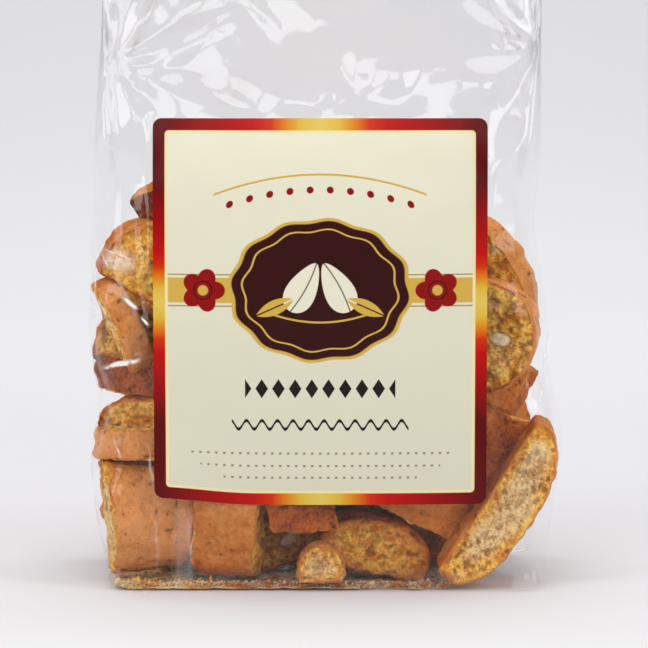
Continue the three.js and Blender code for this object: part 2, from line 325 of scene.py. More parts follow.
class Shader:
    """A material under construction."""

    def __init__(self, name: str) -> None:
        """Starts a material with an empty tree."""
        self.material = bpy.data.materials.new(name)
        self.material.use_nodes = True
        self.tree = self.material.node_tree
        self.tree.nodes.clear()

    def node(
        self, kind: str, settings: dict[str, object] | None = None, inputs: dict | None = None
    ) -> bpy.types.Node:
        """Adds a node.

        Args:
            kind: The node's type.
            settings: Its settings by name, with "stops" for a ramp's places and colours.
            inputs: Values or links of its sockets, by name or number.

        Returns:
            The node.
        """
        made = self.tree.nodes.new(kind)
        for key, value in (settings or {}).items():
            if key == "stops":
                self._fill_ramp(made.color_ramp, value)
            else:
                setattr(made, key, value)
        for key, value in (inputs or {}).items():
            if isinstance(value, Sock):
                self.tree.links.new(value.socket, made.inputs[key])
            else:
                made.inputs[key].default_value = value
        return made

    @staticmethod
    def _fill_ramp(ramp: bpy.types.ColorRamp, stops: Sequence[tuple[float, Colour]]) -> None:
        """Sets a colour ramp's stops."""
        while len(ramp.elements) < len(stops):
            ramp.elements.new(1.0)
        for element, (place, colour) in zip(ramp.elements, stops):
            element.position = place
            element.color = colour

    def sock(
        self,
        kind: str,
        settings: dict[str, object] | None = None,
        inputs: dict | None = None,
        output: int | str = 0,
    ) -> Sock:
        """Adds a node and returns one of its outputs."""
        return Sock(self, self.node(kind, settings, inputs).outputs[output])

    def place(self) -> Sock:
        """Object coordinates."""
        return self.sock("ShaderNodeTexCoord", None, None, "Object")

    def axes(self, place: Sock) -> tuple[Sock, Sock, Sock]:
        """The three parts of a vector."""
        outputs = self.node("ShaderNodeSeparateXYZ", None, {0: place}).outputs
        return Sock(self, outputs["X"]), Sock(self, outputs["Y"]), Sock(self, outputs["Z"])

    def painted(self, name: str, output: str = "Fac") -> Sock:
        """What a mesh stores under a name for each vertex."""
        return self.sock("ShaderNodeAttribute", {"attribute_name": name}, None, output)

    def noise(self, place: Sock, size: float, detail: float = 3.0) -> Sock:
        """Noise with bumps about that wide."""
        inputs = {"Vector": place, "Scale": 1.0 / size, "Detail": detail}
        return self.sock("ShaderNodeTexNoise", None, inputs, "Fac")

    def cells(self, place: Sock, size: float) -> Sock:
        """Distance from the middles of cells of about that width."""
        inputs = {"Vector": place, "Scale": 1.0 / size}
        return self.sock("ShaderNodeTexVoronoi", {"feature": "F1"}, inputs, "Distance")

    def ramp(self, value: Sock, stops: Sequence[tuple[float, Colour]]) -> Sock:
        """The colour that a value has between stops of place and colour."""
        return self.sock("ShaderNodeValToRGB", {"stops": stops}, {0: value}, "Color")

    def blend(self, share: Sock | float, under: Sock | Colour, over: Sock | Colour) -> Sock:
        """One colour over another, by a share."""
        settings = {"data_type": "RGBA", "clamp_factor": True}
        return self.sock("ShaderNodeMix", settings, {0: share, 6: under, 7: over}, 2)

    def bump(self, height: Sock, depth: float, under: Sock | None = None) -> Sock:
        """Relief for a Normal socket: a height from 0 to 1 and its depth in metres."""
        inputs: dict = {"Height": height, "Distance": depth, "Strength": 1.0}
        if under:
            inputs["Normal"] = under
        return self.sock("ShaderNodeBump", None, inputs)

    def solid(self, surface: dict) -> Sock:
        """A Principled shader with these sockets."""
        return self.sock("ShaderNodeBsdfPrincipled", None, surface)

    def finish(self, surface: Sock) -> bpy.types.Material:
        """Links the last shader to the output."""
        self.node("ShaderNodeOutputMaterial", None, {"Surface": surface})
        return self.material


# ---- The biscotti


class Side(Enum):
    """The side of a biscuit that faces the front, as the degrees about X that bring it there."""

    CUT = 0.0
    DOME = 90.0
    BASE = -90.0


@dataclass(frozen=True)
class Resting:
    """Where a biscuit lies and how big it is, with lengths in millimetres and angles in degrees."""

    at: tuple[float, float, float]
    shows: Side
    spin: float = 0.0  # against the clock, seen from the front
    yaw: float = 0.0  # then about the upright, against the clock seen from above
    pitch: float = 0.0
    size: tuple[float, float, float] = (60.0, 22.0, 19.0)  # length, height of the dome, thickness
    bake: float = 0.5  # 0 is pale, 1 is dark
    give: float = 0.12  # how readily it moves aside when the heap settles
    slant: float | None = None  # how far the cuts lean, where it isn't left to chance
    almonds: int = 2  # scattered in each cut face
    nuts: tuple[tuple[float, float, float], ...] = ()  # more of them, each at a place and angle

    def turn(self) -> np.ndarray:
        """The whole turn as a 3 by 3 matrix."""
        shown = Matrix.Rotation(math.radians(self.shows.value), 3, "X")
        spin = Matrix.Rotation(math.radians(-self.spin), 3, "Y")
        yaw = Matrix.Rotation(math.radians(self.yaw), 3, "Z")
        pitch = Matrix.Rotation(math.radians(self.pitch), 3, "X")
        return np.array(yaw @ pitch @ spin @ shown)


@dataclass(frozen=True)
class BakedFinish:
    """Baked dough: crust from pink tan to dark brown, porous golden crumb, and almond, with painted
    light and shade.
    """

    crusts: Sequence[tuple[float, Colour]] = (
        (0.0, srgb(222, 152, 90)),
        (0.28, srgb(202, 124, 44)),
        (0.52, srgb(186, 92, 14)),
        (0.78, srgb(122, 54, 20)),
        (1.0, srgb(66, 22, 10)),
    )
    toasted: Colour = srgb(180, 90, 10)
    # The darkest brown: burnt specks, and painted shade in the crust's low spots and cracks.
    burnt_and_shade: Colour = srgb(84, 32, 12)
    # In each pair of crumb colours, the lighter one on the raised grains is painted highlight and the
    # deeper one in the low grains is painted shade.
    pale: Colour = srgb(240, 210, 156)  # the crumb of a slice that is baked least
    pale_deep: Colour = srgb(208, 156, 84)
    crumb: Colour = srgb(252, 204, 98)
    crumb_deep: Colour = srgb(222, 144, 34)
    amber: Colour = srgb(200, 96, 2)
    # The pores' colour is painted shade; the pores are also sunk in the mesh or the bump.
    pore_shade: Colour = srgb(124, 52, 6)
    almond: Colour = srgb(250, 236, 202)
    skin: Colour = srgb(122, 68, 44)

    patch: float = 8 * MM  # width of the browner and paler patches
    lump: float = 3.6 * MM
    grain: float = 1.9 * MM
    fine: float = 0.8 * MM
    spot: float = 3.1 * MM  # spacing of the burnt specks
    bubble: float = 1.25 * MM  # spacing of the smallest pores
    relief: float = 0.5 * MM
    softness: float = 1.6 * MM  # how far light spreads under the surface

    def material(self) -> bpy.types.Material:
        """Builds the material, which reads the fields painted on each biscuit."""
        sh = Shader("baked_dough")
        place = sh.painted("rest", "Vector")
        crumb, toast, pit = sh.painted("crumb"), sh.painted("toast"), sh.painted("pit")
        almond, skin = sh.painted("almond"), sh.painted("skin")
        patches = sh.noise(place, self.patch)
        grains = sh.noise(place, self.grain, 4.0)
        fine = sh.noise(place, self.fine, 4.0)
        uneven = (patches - 0.5) * 0.7 + (grains - 0.5) * 0.55
        opened = sh.cells(place, self.bubble).step(0.34, 0.12) * fine.step(0.42, 0.6) * 0.85
        crust = sh.ramp(toast * 0.78 + 0.06 + uneven + (fine - 0.5) * 0.7, self.crusts)
        specks = sh.cells(place, self.spot).step(0.2, 0.07) * patches.step(0.4, 0.6)
        # Burnt specks, then painted shade in the crust's low spots, where the noise that sinks its bump
        # is low, and in its cracks.
        for burnt_and_shade in (specks * 0.7, fine.step(0.42, 0.3) * 0.45, pit * 0.8):
            crust = sh.blend(burnt_and_shade, crust, self.burnt_and_shade)
        # Painted highlight on the crumb's raised grains and painted shade in its low ones, from the same
        # noise that raises the bump.
        light = (grains * 0.45 + fine * 0.55).step(0.38, 0.56)
        inside = sh.blend(light, self.crumb_deep, self.crumb)
        lumps = sh.noise(place, self.lump, 3.0)
        inside = sh.blend(lumps.step(0.5, 0.62) * 0.55, inside, self.amber)
        palest = sh.blend(light, self.pale_deep, self.pale)
        inside = sh.blend((toast + uneven * 0.3).step(0.2, 0.0), inside, palest)
        inside = sh.blend((toast + uneven).step(0.35, 1.0) * 0.8, inside, self.toasted)
        # Painted shade in the pores.
        hollow = (pit + opened).least(1.0) * (1.0 - almond)
        inside = sh.blend(hollow * 0.66, inside, self.pore_shade)
        nut = sh.blend(fine.step(0.35, 0.8) * 0.6, self.almond, self.crumb_deep)
        colour = sh.blend(almond, sh.blend(crumb, crust, inside), nut)
        colour = sh.blend(skin * 0.85, colour, self.skin)
        rough = fine * (0.5 + crumb * 0.3) + grains * (0.25 + crumb * 0.35) - opened * crumb
        surface = {
            "Base Color": colour,
            "Roughness": 0.6 + crumb * 0.3,
            "Normal": sh.bump(rough * (1.0 - almond * 0.7), self.relief),
            "Specular IOR Level": 0.22,
            "Subsurface Weight": 0.3,
            "Subsurface Radius": (1.0, 0.5, 0.2),
            "Subsurface Scale": self.softness,
        }
        return sh.finish(sh.solid(surface))


@dataclass
class Biscotto:
    """One slice of a baked loaf: a D-shaped slab with a domed crust, a flat base and two cut faces.

    It is modelled with its length along X, its cut faces to -Y and +Y and its dome up, and is then
    turned and moved to where it lies.
    """

    name: str
    lies: Resting
    seed: int
    voxel: float = 0.5 * MM
    tuck: float = 0.34  # how far the loaf's side tucks in below its widest line
    rim: float = 1.0 * MM  # rounding of the cut faces' rims
    sides: int = 44  # of the cylinder that the slice starts as
    most_slant: float = 0.28  # sideways lean of the cuts, for each unit of thickness
    most_lean: float = 0.08  # lean of the slice, for each unit of height
    most_taper: float = 0.22
    most_bend: float = 9.0  # degrees
    pores: int = 46  # large air bubbles in each cut face
    cracks: int = 30  # pinholes and splits in the crust
    pore_depth: float = 1.1 * MM
    crack_depth: float = 0.7 * MM
    skin_depth: float = 0.2 * MM
    nut_height: float = 0.25 * MM
    chip_depth: float = 1.0 * MM  # of what has crumbled off the rims
    largest_ball: float = 5.4 * MM

    def __post_init__(self) -> None:
        """Works out the slice's sizes and starts its random draws."""
        self.length, self.height, self.thickness = (side * MM for side in self.lies.size)
        self.rng = np.random.default_rng(self.seed)
        self.grain = Grain(self.seed)
        self.reach = self.height / (1.0 + self.tuck)
        self.base = -self.reach * self.tuck
        self.middle = (self.height / 2.0) + self.base
        self.slant = self.rng.uniform(-self.most_slant, self.most_slant)
        if self.lies.slant is not None:
            self.slant = self.lies.slant

    def build(self, material: bpy.types.Material) -> bpy.types.Object:
        """Models the slice in its own frame.

        Args:
            material: The dough's material.

        Returns:
            The slice, still at the origin.
        """
        obj = self._slab()
        obj.name = self.name
        self._warp(obj)
        modify(obj, "REMESH", mode="VOXEL", voxel_size=self.voxel, adaptivity=0.0)
        self._relief(obj)
        shade(obj, material)
        return obj

    def _slab(self) -> bpy.types.Object:
        """A squashed cylinder, cut flat along its base and rounded along its rims."""
        bpy.ops.mesh.primitive_cylinder_add(
            vertices=self.sides, radius=0.5, depth=1.0, rotation=(math.pi / 2, 0, 0)
        )
        obj = bpy.context.object
        obj.scale = (self.length, 2.0 * self.reach, self.thickness)
        settle_place(obj)
        with editing(obj):
            bpy.ops.mesh.select_all(action="SELECT")
            bpy.ops.mesh.bisect(
                plane_co=(0, 0, self.base), plane_no=(0, 0, 1), use_fill=True, clear_inner=True
            )
        self._round(obj, lambda normal: abs(normal.y) > 0.9 or normal.z < -0.9)
        return obj

    def _round(self, obj: bpy.types.Object, chosen: Callable[[Vector], bool]) -> None:
        """Bevels the edges round the faces whose normals are chosen."""
        mesh = obj.data
        keys = {key for face in mesh.polygons if chosen(face.normal) for key in face.edge_keys}
        for face in mesh.polygons:
            face.select = False
        for edge in mesh.edges:
            edge.select = edge.key in keys
        bpy.context.tool_settings.mesh_select_mode = (False, True, False)
        with editing(obj):
            bpy.ops.mesh.bevel(offset=self.rim, segments=3, affect="EDGES")

    def _warp(self, obj: bpy.types.Object) -> None:
        """Tapers and bends the slab a little and slants its cuts, as hand-cut slices are."""
        taper = self.rng.uniform(-self.most_taper, self.most_taper)
        modify(obj, "SIMPLE_DEFORM", deform_method="TAPER", deform_axis="X", factor=taper)
        bend = math.radians(self.rng.uniform(-self.most_bend, self.most_bend))
        modify(obj, "SIMPLE_DEFORM", deform_method="BEND", deform_axis="Z", angle=bend)
        points = points_of(obj)
        points[:, 0] += self.slant * points[:, 1]
        points[:, 1] += self.rng.uniform(-self.most_lean, self.most_lean) * points[:, 2]
        set_points(obj, points)

    def _relief(self, obj: bpy.types.Object) -> None:
        """Roughens the slice, sinks its pores, sets its almonds and paints its fields."""
        points, normals = points_of(obj), normals_of(obj)
        grain = self.grain
        flat = points.copy()
        flat[:, 0] -= self.slant * points[:, 1]
        cut = smooth(np.abs(normals[:, 1]), 0.6, 0.92)
        inward = self._rim_distance(flat)
        ragged = grain.rough(points, 4.0 * MM) * 0.9 * MM
        crumb = cut * smooth(inward + ragged, 0.2 * MM, 1.1 * MM)
        pit = self._fine_pores(points) * crumb
        almond, skin = np.zeros(len(points)), np.zeros(len(points))
        for side in (-1, 1):
            facing = crumb * (normals[:, 1] * side > 0)
            nuts, husk = self._almonds(flat, side)
            almond = np.maximum(almond, nuts * facing)
            skin = np.maximum(skin, husk * facing)
            pit = np.maximum(pit, self._pores(flat, side) * facing)
        pit = np.clip(pit, 0.0, 1.0) * (1.0 - np.clip(almond + skin, 0.0, 1.0))
        crack = self._cracks(points, normals) * (1.0 - crumb)
        ends = smooth(np.abs(flat[:, 0]) / (self.length / 2.0), 0.8, 0.98)
        lift = grain.rough(points, 15.0 * MM) * min(1.2 * MM, self.length * 0.03)
        lift += grain.rough(points + 0.3, 2.6 * MM) * (0.17 + 0.24 * cut + 0.3 * ends) * MM
        chips = smooth(inward, 1.8 * MM, 0.0) * smooth(grain.at(points, 2.6 * MM), 0.0, 0.8)
        lift -= chips * self.chip_depth
        lift -= pit * self.pore_depth + crack * self.crack_depth + skin * self.skin_depth
        lift += almond * self.nut_height
        set_points(obj, points + normals * lift[:, None])
        paint(obj, "rest", points + self.seed * 0.137)
        paint(obj, "crumb", crumb)
        paint(obj, "toast", self._toast(points, normals, cut, inward))
        # The material paints shade into these pores and cracks.
        paint(obj, "pit", np.maximum(pit, crack))
        paint(obj, "almond", almond)
        paint(obj, "skin", skin)

    def _rim_distance(self, flat: np.ndarray) -> np.ndarray:
        """How far each point lies inside the slice's D-shaped outline."""
        across = flat[:, 0] / (self.length / 2.0)
        up = flat[:, 2] / self.reach
        round_part = (1.0 - np.sqrt(across**2 + up**2)) * self.reach
        return np.minimum(round_part, flat[:, 2] - self.base)

    def _face_spots(self, count: int) -> np.ndarray:
        """Random places on the D-shaped face, as rows of length and height."""
        turn = self.rng.uniform(0.0, 2.0 * math.pi, count)
        out = np.sqrt(self.rng.uniform(0.0, 1.0, count)) * 0.92
        across = np.cos(turn) * out * self.length / 2.0
        up = np.sin(turn) * out * self.reach
        return np.column_stack([across, np.where(up < self.base, -up * 0.6, up)])

    def _fine_pores(self, points: np.ndarray) -> np.ndarray:
        """Depth of the crumb's fine pores in two widths, more of them in some patches than others."""
        grain = self.grain
        pit = smooth(grain.at(points, 1.7 * MM), -0.27, -0.66)
        pit += 0.8 * smooth(grain.at(points + 0.7, 1.0 * MM), -0.18, -0.6)
        return pit * (0.35 + 0.65 * smooth(grain.at(points, 8 * MM), -0.7, 0.4))

    def _pores(self, flat: np.ndarray, side: int) -> np.ndarray:
        """Depth of the air bubbles that the knife opened, from 0 to 1."""
        spots = self._face_spots(self.pores)
        wide = self.rng.uniform(0.5, 1.25, len(spots)) * MM
        stretch = self.rng.uniform(0.7, 1.5, len(spots))
        depth = np.zeros(len(flat))
        near = flat[:, 1] * side > 0
        here = flat[near]
        found = np.zeros(len(here))
        for (x, z), r, s in zip(spots, wide, stretch):
            away = ((here[:, 0] - x) / (r * s)) ** 2 + ((here[:, 2] - z) * s / r) ** 2
            found = np.maximum(found, np.sqrt(np.clip(1.0 - away, 0.0, 1.0)) * (r / (1.6 * MM)))
        depth[near] = np.clip(found, 0.0, 1.0)
        return depth

    def _almonds(self, flat: np.ndarray, side: int) -> tuple[np.ndarray, np.ndarray]:
        """Almonds in a cut face: most are sliced through, the others show their skin.

        Args:
            flat: The slice's points with its slant taken out.
            side: The face, -1 or 1.

        Returns:
            The share of almond and of its brown skin at each point.
        """
        nut, husk = np.zeros(len(flat)), np.zeros(len(flat))
        near = flat[:, 1] * side > 0
        scattered = self._face_spots(self.lies.almonds) * 0.75
        spots = [(x, z, self.rng.uniform(0, 180)) for x, z in scattered]
        spots += [(x * MM, self.middle + z * MM, angle) for x, z, angle in self.lies.nuts]
        for number, (x, z, angle) in enumerate(spots):
            sliced = number >= self.lies.almonds or self.rng.random() < 0.6
            long, wide = self.rng.uniform(2.6, 4.2) * MM, self.rng.uniform(1.5, 2.3) * MM
            turn = math.radians(angle)
            dx, dz = flat[:, 0] - x, flat[:, 2] - z
            along = dx * math.cos(turn) + dz * math.sin(turn)
            across = dz * math.cos(turn) - dx * math.sin(turn)
            away = np.sqrt((along / long) ** 2 + (across / wide) ** 2)
            away += 0.16 * self.grain.at(flat + number, 3.0 * MM)
            if sliced:
                nut = np.maximum(nut, smooth(away, 1.0, 0.8) * near)
                ring = np.exp(-(((away - 1.06) / 0.12) ** 2))
                ring = ring * smooth(self.grain.at(flat, 5 * MM), -0.3, 0.3)
                husk = np.maximum(husk, ring * near)
            else:
                husk = np.maximum(husk, smooth(away, 1.0, 0.7) * near * 0.8)
        return nut, husk

    def _cracks(self, points: np.ndarray, normals: np.ndarray) -> np.ndarray:
        """Pinholes and short splits in the crust, from 0 to 1."""
        spots = self.rng.integers(0, len(points), self.cracks)
        wide = self.rng.uniform(0.3, 0.75, self.cracks) * MM
        long = self.rng.uniform(1.0, 3.6, self.cracks)
        found = np.zeros(len(points))
        for spot, r, stretch in zip(spots, wide, long):
            turn = self.rng.uniform(0.0, math.pi)
            way = np.array([math.cos(turn), math.sin(turn), 0.35])
            way -= normals[spot] * way.dot(normals[spot])
            way /= np.linalg.norm(way) + 1e-9
            off = points - points[spot]
            along = off @ way
            away = (off**2).sum(axis=1) - along**2 + (along / stretch) ** 2
            found = np.maximum(found, np.clip(1.0 - away / r**2, 0.0, 1.0))
        return found

    def _toast(
        self, points: np.ndarray, normals: np.ndarray, cut: np.ndarray, inward: np.ndarray
    ) -> np.ndarray:
        """How brown each point is baked, from 0 for pale to over 1 for scorched.

        Args:
            points: The slice's points.
            normals: Their normals.
            cut: How far each belongs to a cut face.
            inward: How far each lies inside the slice's outline.

        Returns:
            One number for each point.
        """
        base = smooth(-normals[:, 2], 0.55, 0.95) * 0.42
        ends = smooth(np.abs(points[:, 0]) / (self.length / 2.0), 0.72, 1.0) * 0.22
        edge = np.exp(-np.clip(inward, 0.0, 1.0) / min(2.2 * MM, self.length / 14)) * cut * 0.55
        uneven = self.grain.rough(points + 0.9, 22.0 * MM) * 0.16
        return self.lies.bake * 0.8 - 0.12 + base + ends + edge + uneven

    def balls(self) -> tuple[np.ndarray, np.ndarray]:
        """Balls that fill the slice, which stand for it while the heap settles.

        Returns:
            Their middles, in the slice's own frame, and their radii.
        """
        middles, radii = [], []
        ball = min(self.largest_ball, self.thickness / 2.0)
        columns = max(2, round(self.length / (1.3 * ball)))
        for x in np.linspace(-0.5, 0.5, columns) * (self.length - 1.5 * ball):
            arch = math.sqrt(max(0.0, 1.0 - (x / (self.length / 2.0)) ** 2))
            top, low = self.reach * arch, max(self.base, -self.reach * arch)
            r = min(ball, (top - low) / 2.0)
            rows = max(1, round((top - low) / (1.5 * r)) - 1)
            for z in np.linspace(low + r, top - r, rows) if rows > 1 else [(top + low) / 2.0]:
                for y in {-(self.thickness / 2.0 - r), self.thickness / 2.0 - r}:
                    middles.append((x + self.slant * y, y, z))
                    radii.append(r)
        return np.array(middles), np.array(radii)


@dataclass
class BagSpace:
    """The inside of the bag as distances to its wall, on a grid."""

    solid: bpy.types.Object
    pitch: float = 4.0 * MM
    pad: float = 8.0 * MM

    def __post_init__(self) -> None:
        """Measures the distances, below zero inside the bag."""
        low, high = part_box("bag")
        self.start = np.array(low) - self.pad
        counts = np.ceil((np.array(high) + self.pad - self.start) / self.pitch).astype(int) + 1
        triangles = faces_of(self.solid, 3)
        self.tree = BVHTree.FromPolygons(points_of(self.solid).tolist(), triangles.tolist())
        self.field = np.empty(counts)
        for index in np.ndindex(*counts):
            here = Vector(self.start + np.array(index) * self.pitch)
            spot, normal, _, away = self.tree.find_nearest(here)
            self.field[index] = math.copysign(away, (here - spot).dot(normal))
        self.slopes = np.stack(np.gradient(self.field, self.pitch), axis=-1)

    def at(self, points: np.ndarray) -> tuple[np.ndarray, np.ndarray]:
        """The distance to the wall and the way out at some points."""
        place = (points - self.start) / self.pitch
        cell = np.clip(np.floor(place).astype(int), 0, np.array(self.field.shape) - 2)
        away, slope = np.zeros(len(points)), np.zeros((len(points), 3))
        for step, weight in cell_corners(np.clip(place - cell, 0.0, 1.0)):
            i, j, k = (cell + step).T
            away += weight * self.field[i, j, k]
            slope += weight[:, None] * self.slopes[i, j, k]
        return away, slope / (np.linalg.norm(slope, axis=1, keepdims=True) + 1e-9)

    def keep_in(self, points: np.ndarray, gap: float) -> np.ndarray:
        """Moves points that lie beyond the wall, or nearer to it than a gap, straight in from it."""
        kept = points.copy()
        away, _ = self.at(points)
        for number in np.flatnonzero(away > -2.0 * self.pitch):
            here = Vector(points[number])
            spot, normal, _, _ = self.tree.find_nearest(here)
            over = (here - spot).dot(normal) + gap
            if over > 0.0:
                kept[number] = here - normal * over
        return kept


@dataclass
class LooseBiscotti:
    """The heap while it settles: each biscuit is a stiff group of balls."""

    slices: list[Biscotto]
    space: BagSpace
    wall_gap: float
    apart: float = 68 * MM  # two biscuits further apart than this can't touch
    ease: float = 0.8  # share of its overlap that a biscuit moves out of in a round
    most_turn: float = 0.05  # radians in a round

    def __post_init__(self) -> None:
        """Gathers each biscuit's first place and turn, and its balls."""
        self.places = np.array([piece.lies.at for piece in self.slices]) * MM
        self.turns = np.array([piece.lies.turn() for piece in self.slices])
        self.gives = np.array([piece.lies.give for piece in self.slices])
        balls = [piece.balls() for piece in self.slices]
        middles = (found - [0, 0, piece.middle] for piece, (found, _) in zip(self.slices, balls))
        self.local = np.vstack(list(middles))
        self.radius = np.concatenate([radii for _, radii in balls])
        counts = [len(radii) for _, radii in balls]
        self.owner = np.repeat(np.arange(len(counts)), counts)
        self.own = [slice(end - count, end) for end, count in zip(np.cumsum(counts), counts)]

    def part(self) -> float:
        """Moves and turns every biscuit once, out of the others and off the wall.

        Returns:
            The deepest overlap that it met.
        """
        arms = np.einsum("nij,nj->ni", self.turns[self.owner], self.local)
        spots = self.places[self.owner] + arms
        push, hits = np.zeros_like(spots), np.zeros(len(spots))
        deepest = 0.0
        for one, other in combinations(range(len(self.slices)), 2):
            if np.linalg.norm(self.places[one] - self.places[other]) <= self.apart:
                deepest = max(deepest, self._part_two(one, other, spots, push, hits))
        away, way = self.space.at(spots)
        deep = np.clip(away + self.radius + self.wall_gap, 0.0, None)
        push -= way * deep[:, None]
        hits += deep > 0.0
        touched = np.maximum(np.bincount(self.owner, weights=hits), 1.0)
        for axis in range(3):
            moved = np.bincount(self.owner, weights=push[:, axis])
            self.places[:, axis] += moved / touched * self.ease
        self._twist(arms, push, hits)
        return deepest

    def _part_two(
        self, one: int, other: int, spots: np.ndarray, push: np.ndarray, hits: np.ndarray
    ) -> float:
        """Adds the pushes between two biscuits, the larger on the one that gives more.

        Args:
            one: The first biscuit's number.
            other: The second's.
            spots: Where all balls are.
            push: How far each is pushed, which is added to.
            hits: How many balls each meets, which is added to.

        Returns:
            The deepest overlap of the two.
        """
        mine, theirs = self.own[one], self.own[other]
        between = spots[mine, None] - spots[None, theirs]
        away = np.sqrt((between**2).sum(axis=2)) + 1e-9
        deep = self.radius[mine, None] + self.radius[None, theirs] - away
        deep = np.where(deep > 0.0, deep, 0.0)
        if deep.any():
            shift = between / away[:, :, None] * deep[:, :, None]
            share = self.gives[one] / (self.gives[one] + self.gives[other])
            push[mine] += shift.sum(axis=1) * share
            push[theirs] -= shift.sum(axis=0) * (1.0 - share)
            hits[mine] += (deep > 0.0).sum(axis=1)
            hits[theirs] += (deep > 0.0).sum(axis=0)
        return float(deep.max())

    def _twist(self, arms: np.ndarray, push: np.ndarray, hits: np.ndarray) -> None:
        """Turns each biscuit a little, as the pushes on its balls do."""
        torque = np.cross(arms, push)
        inertia = np.bincount(self.owner, weights=(arms**2).sum(axis=1) * (hits > 0)) + 1e-9
        for number, own in enumerate(self.own):
            looseness = min(0.5, self.gives[number] * 12.0)
            twist = torque[own].sum(axis=0) / inertia[number] * looseness
            angle = float(np.linalg.norm(twist))
            if angle > 1e-6:
                rotation = Matrix.Rotation(min(angle, self.most_turn), 3, Vector(twist / angle))
                self.turns[number] = np.array(rotation) @ self.turns[number]

    def drop(self, sink: float, lean: float) -> None:
        """Lets every biscuit sink, and draws it towards the panel that it is nearer to."""
        self.places[:, 2] -= sink * np.minimum(1.0, self.gives * 2.0)
        self.places[:, 1] += lean * np.sign(self.places[:, 1])


@dataclass
class Heap:
    """The biscotti in the bag: those that show lie where they are placed, the rest fill in behind."""

    space: BagSpace
    seed: int = 23
    rounds: int = 300
    loose_rounds: int = 180  # in which the heap still sinks
    wall_gap: float = 0.6 * MM
    film_gap: float = 0.5 * MM  # kept between a finished biscuit's surface and the wall
    sink: float = 0.05 * MM  # how far each piece drops in a round while the heap is loose
    lean: float = 0.03 * MM  # how far each is drawn towards the panel in front of it or behind it
    fine: float = 0.5 * MM  # mesh size of the slices that show, and of the hidden ones
    coarse: float = 1.1 * MM
    back_rows: Sequence[float] = (14.0, 38.0, 62.0, 85.0)  # heights of the back half's rows
    back_depth: float = 15.0
    front: Sequence[Resting] = field(default_factory=lambda: FRONT_BISCOTTI)
    covered: Sequence[Resting] = field(default_factory=lambda: COVERED_BISCOTTI)

    def build(self, material: bpy.types.Material) -> list[bpy.types.Object]:
        """Models every biscuit and lays it in the bag.

        Args:
            material: The dough's material.

        Returns:
            The biscuits.
        """
        slices = []
        for number, lie in enumerate([*self.front, *self.covered, *self._behind()], 1):
            voxel = self.fine if number <= len(self.front) else self.coarse
            slices.append(Biscotto(f"biscotto_{number:02d}", lie, self.seed + 11 * number, voxel))
        places, turns = self._settle(slices)
        made = []
        for piece, place, turn in zip(slices, places, turns):
            obj = piece.build(material)
            points = (points_of(obj) - [0, 0, piece.middle]) @ turn.T + place
            set_points(obj, self.space.keep_in(points, self.film_gap))
            register(obj, "bag")
            made.append(obj)
        return made

    def _behind(self) -> list[Resting]:
        """The biscuits of the back half, by a rule with seeded draws."""
        rng = np.random.default_rng(self.seed)
        made = []
        sides = [Side.CUT, Side.DOME, Side.BASE, Side.CUT]
        for row, z in enumerate(self.back_rows):
            for column, x in enumerate((-45.0, 0.0, 28.0 if row < 2 else 36.0)):
                shows = sides[(2 * row + 3 * column + row // 2) % 4]
                upright = (row + column) % 3 == 2
                spin = rng.uniform(-20, 20) + (90.0 if upright else 0.0)
                yaw = rng.uniform(-22, 22) + 180.0
                size = (rng.uniform(50, 58), rng.uniform(19, 24), rng.uniform(16, 21))
                y = self.back_depth - 0.06 * max(0.0, z - 60.0)
                at = (x + rng.uniform(-4, 4), y, z)
                pitch, bake = rng.uniform(-12, 12), rng.uniform(0.25, 0.8)
                nuts = int(rng.integers(1, 4))
                made.append(Resting(at, shows, spin, yaw, pitch, size, bake, 1.0, almonds=nuts))
        return made

    def _settle(self, slices: list[Biscotto]) -> tuple[np.ndarray, np.ndarray]:
        """Eases the biscuits apart and down until none lies in another or in the wall.

        Args:
            slices: The biscuits, each with its first place and turn.

        Returns:
            Their places and turns.
        """
        loose = LooseBiscotti(slices, self.space, self.wall_gap)
        deepest = 0.0
        for number in range(self.rounds):
            deepest = loose.part()
            if number < self.loose_rounds:
                loose.drop(self.sink, self.lean)
        log.info("heap settled, deepest overlap %.2f mm", deepest / MM)
        return loose.places, loose.turns


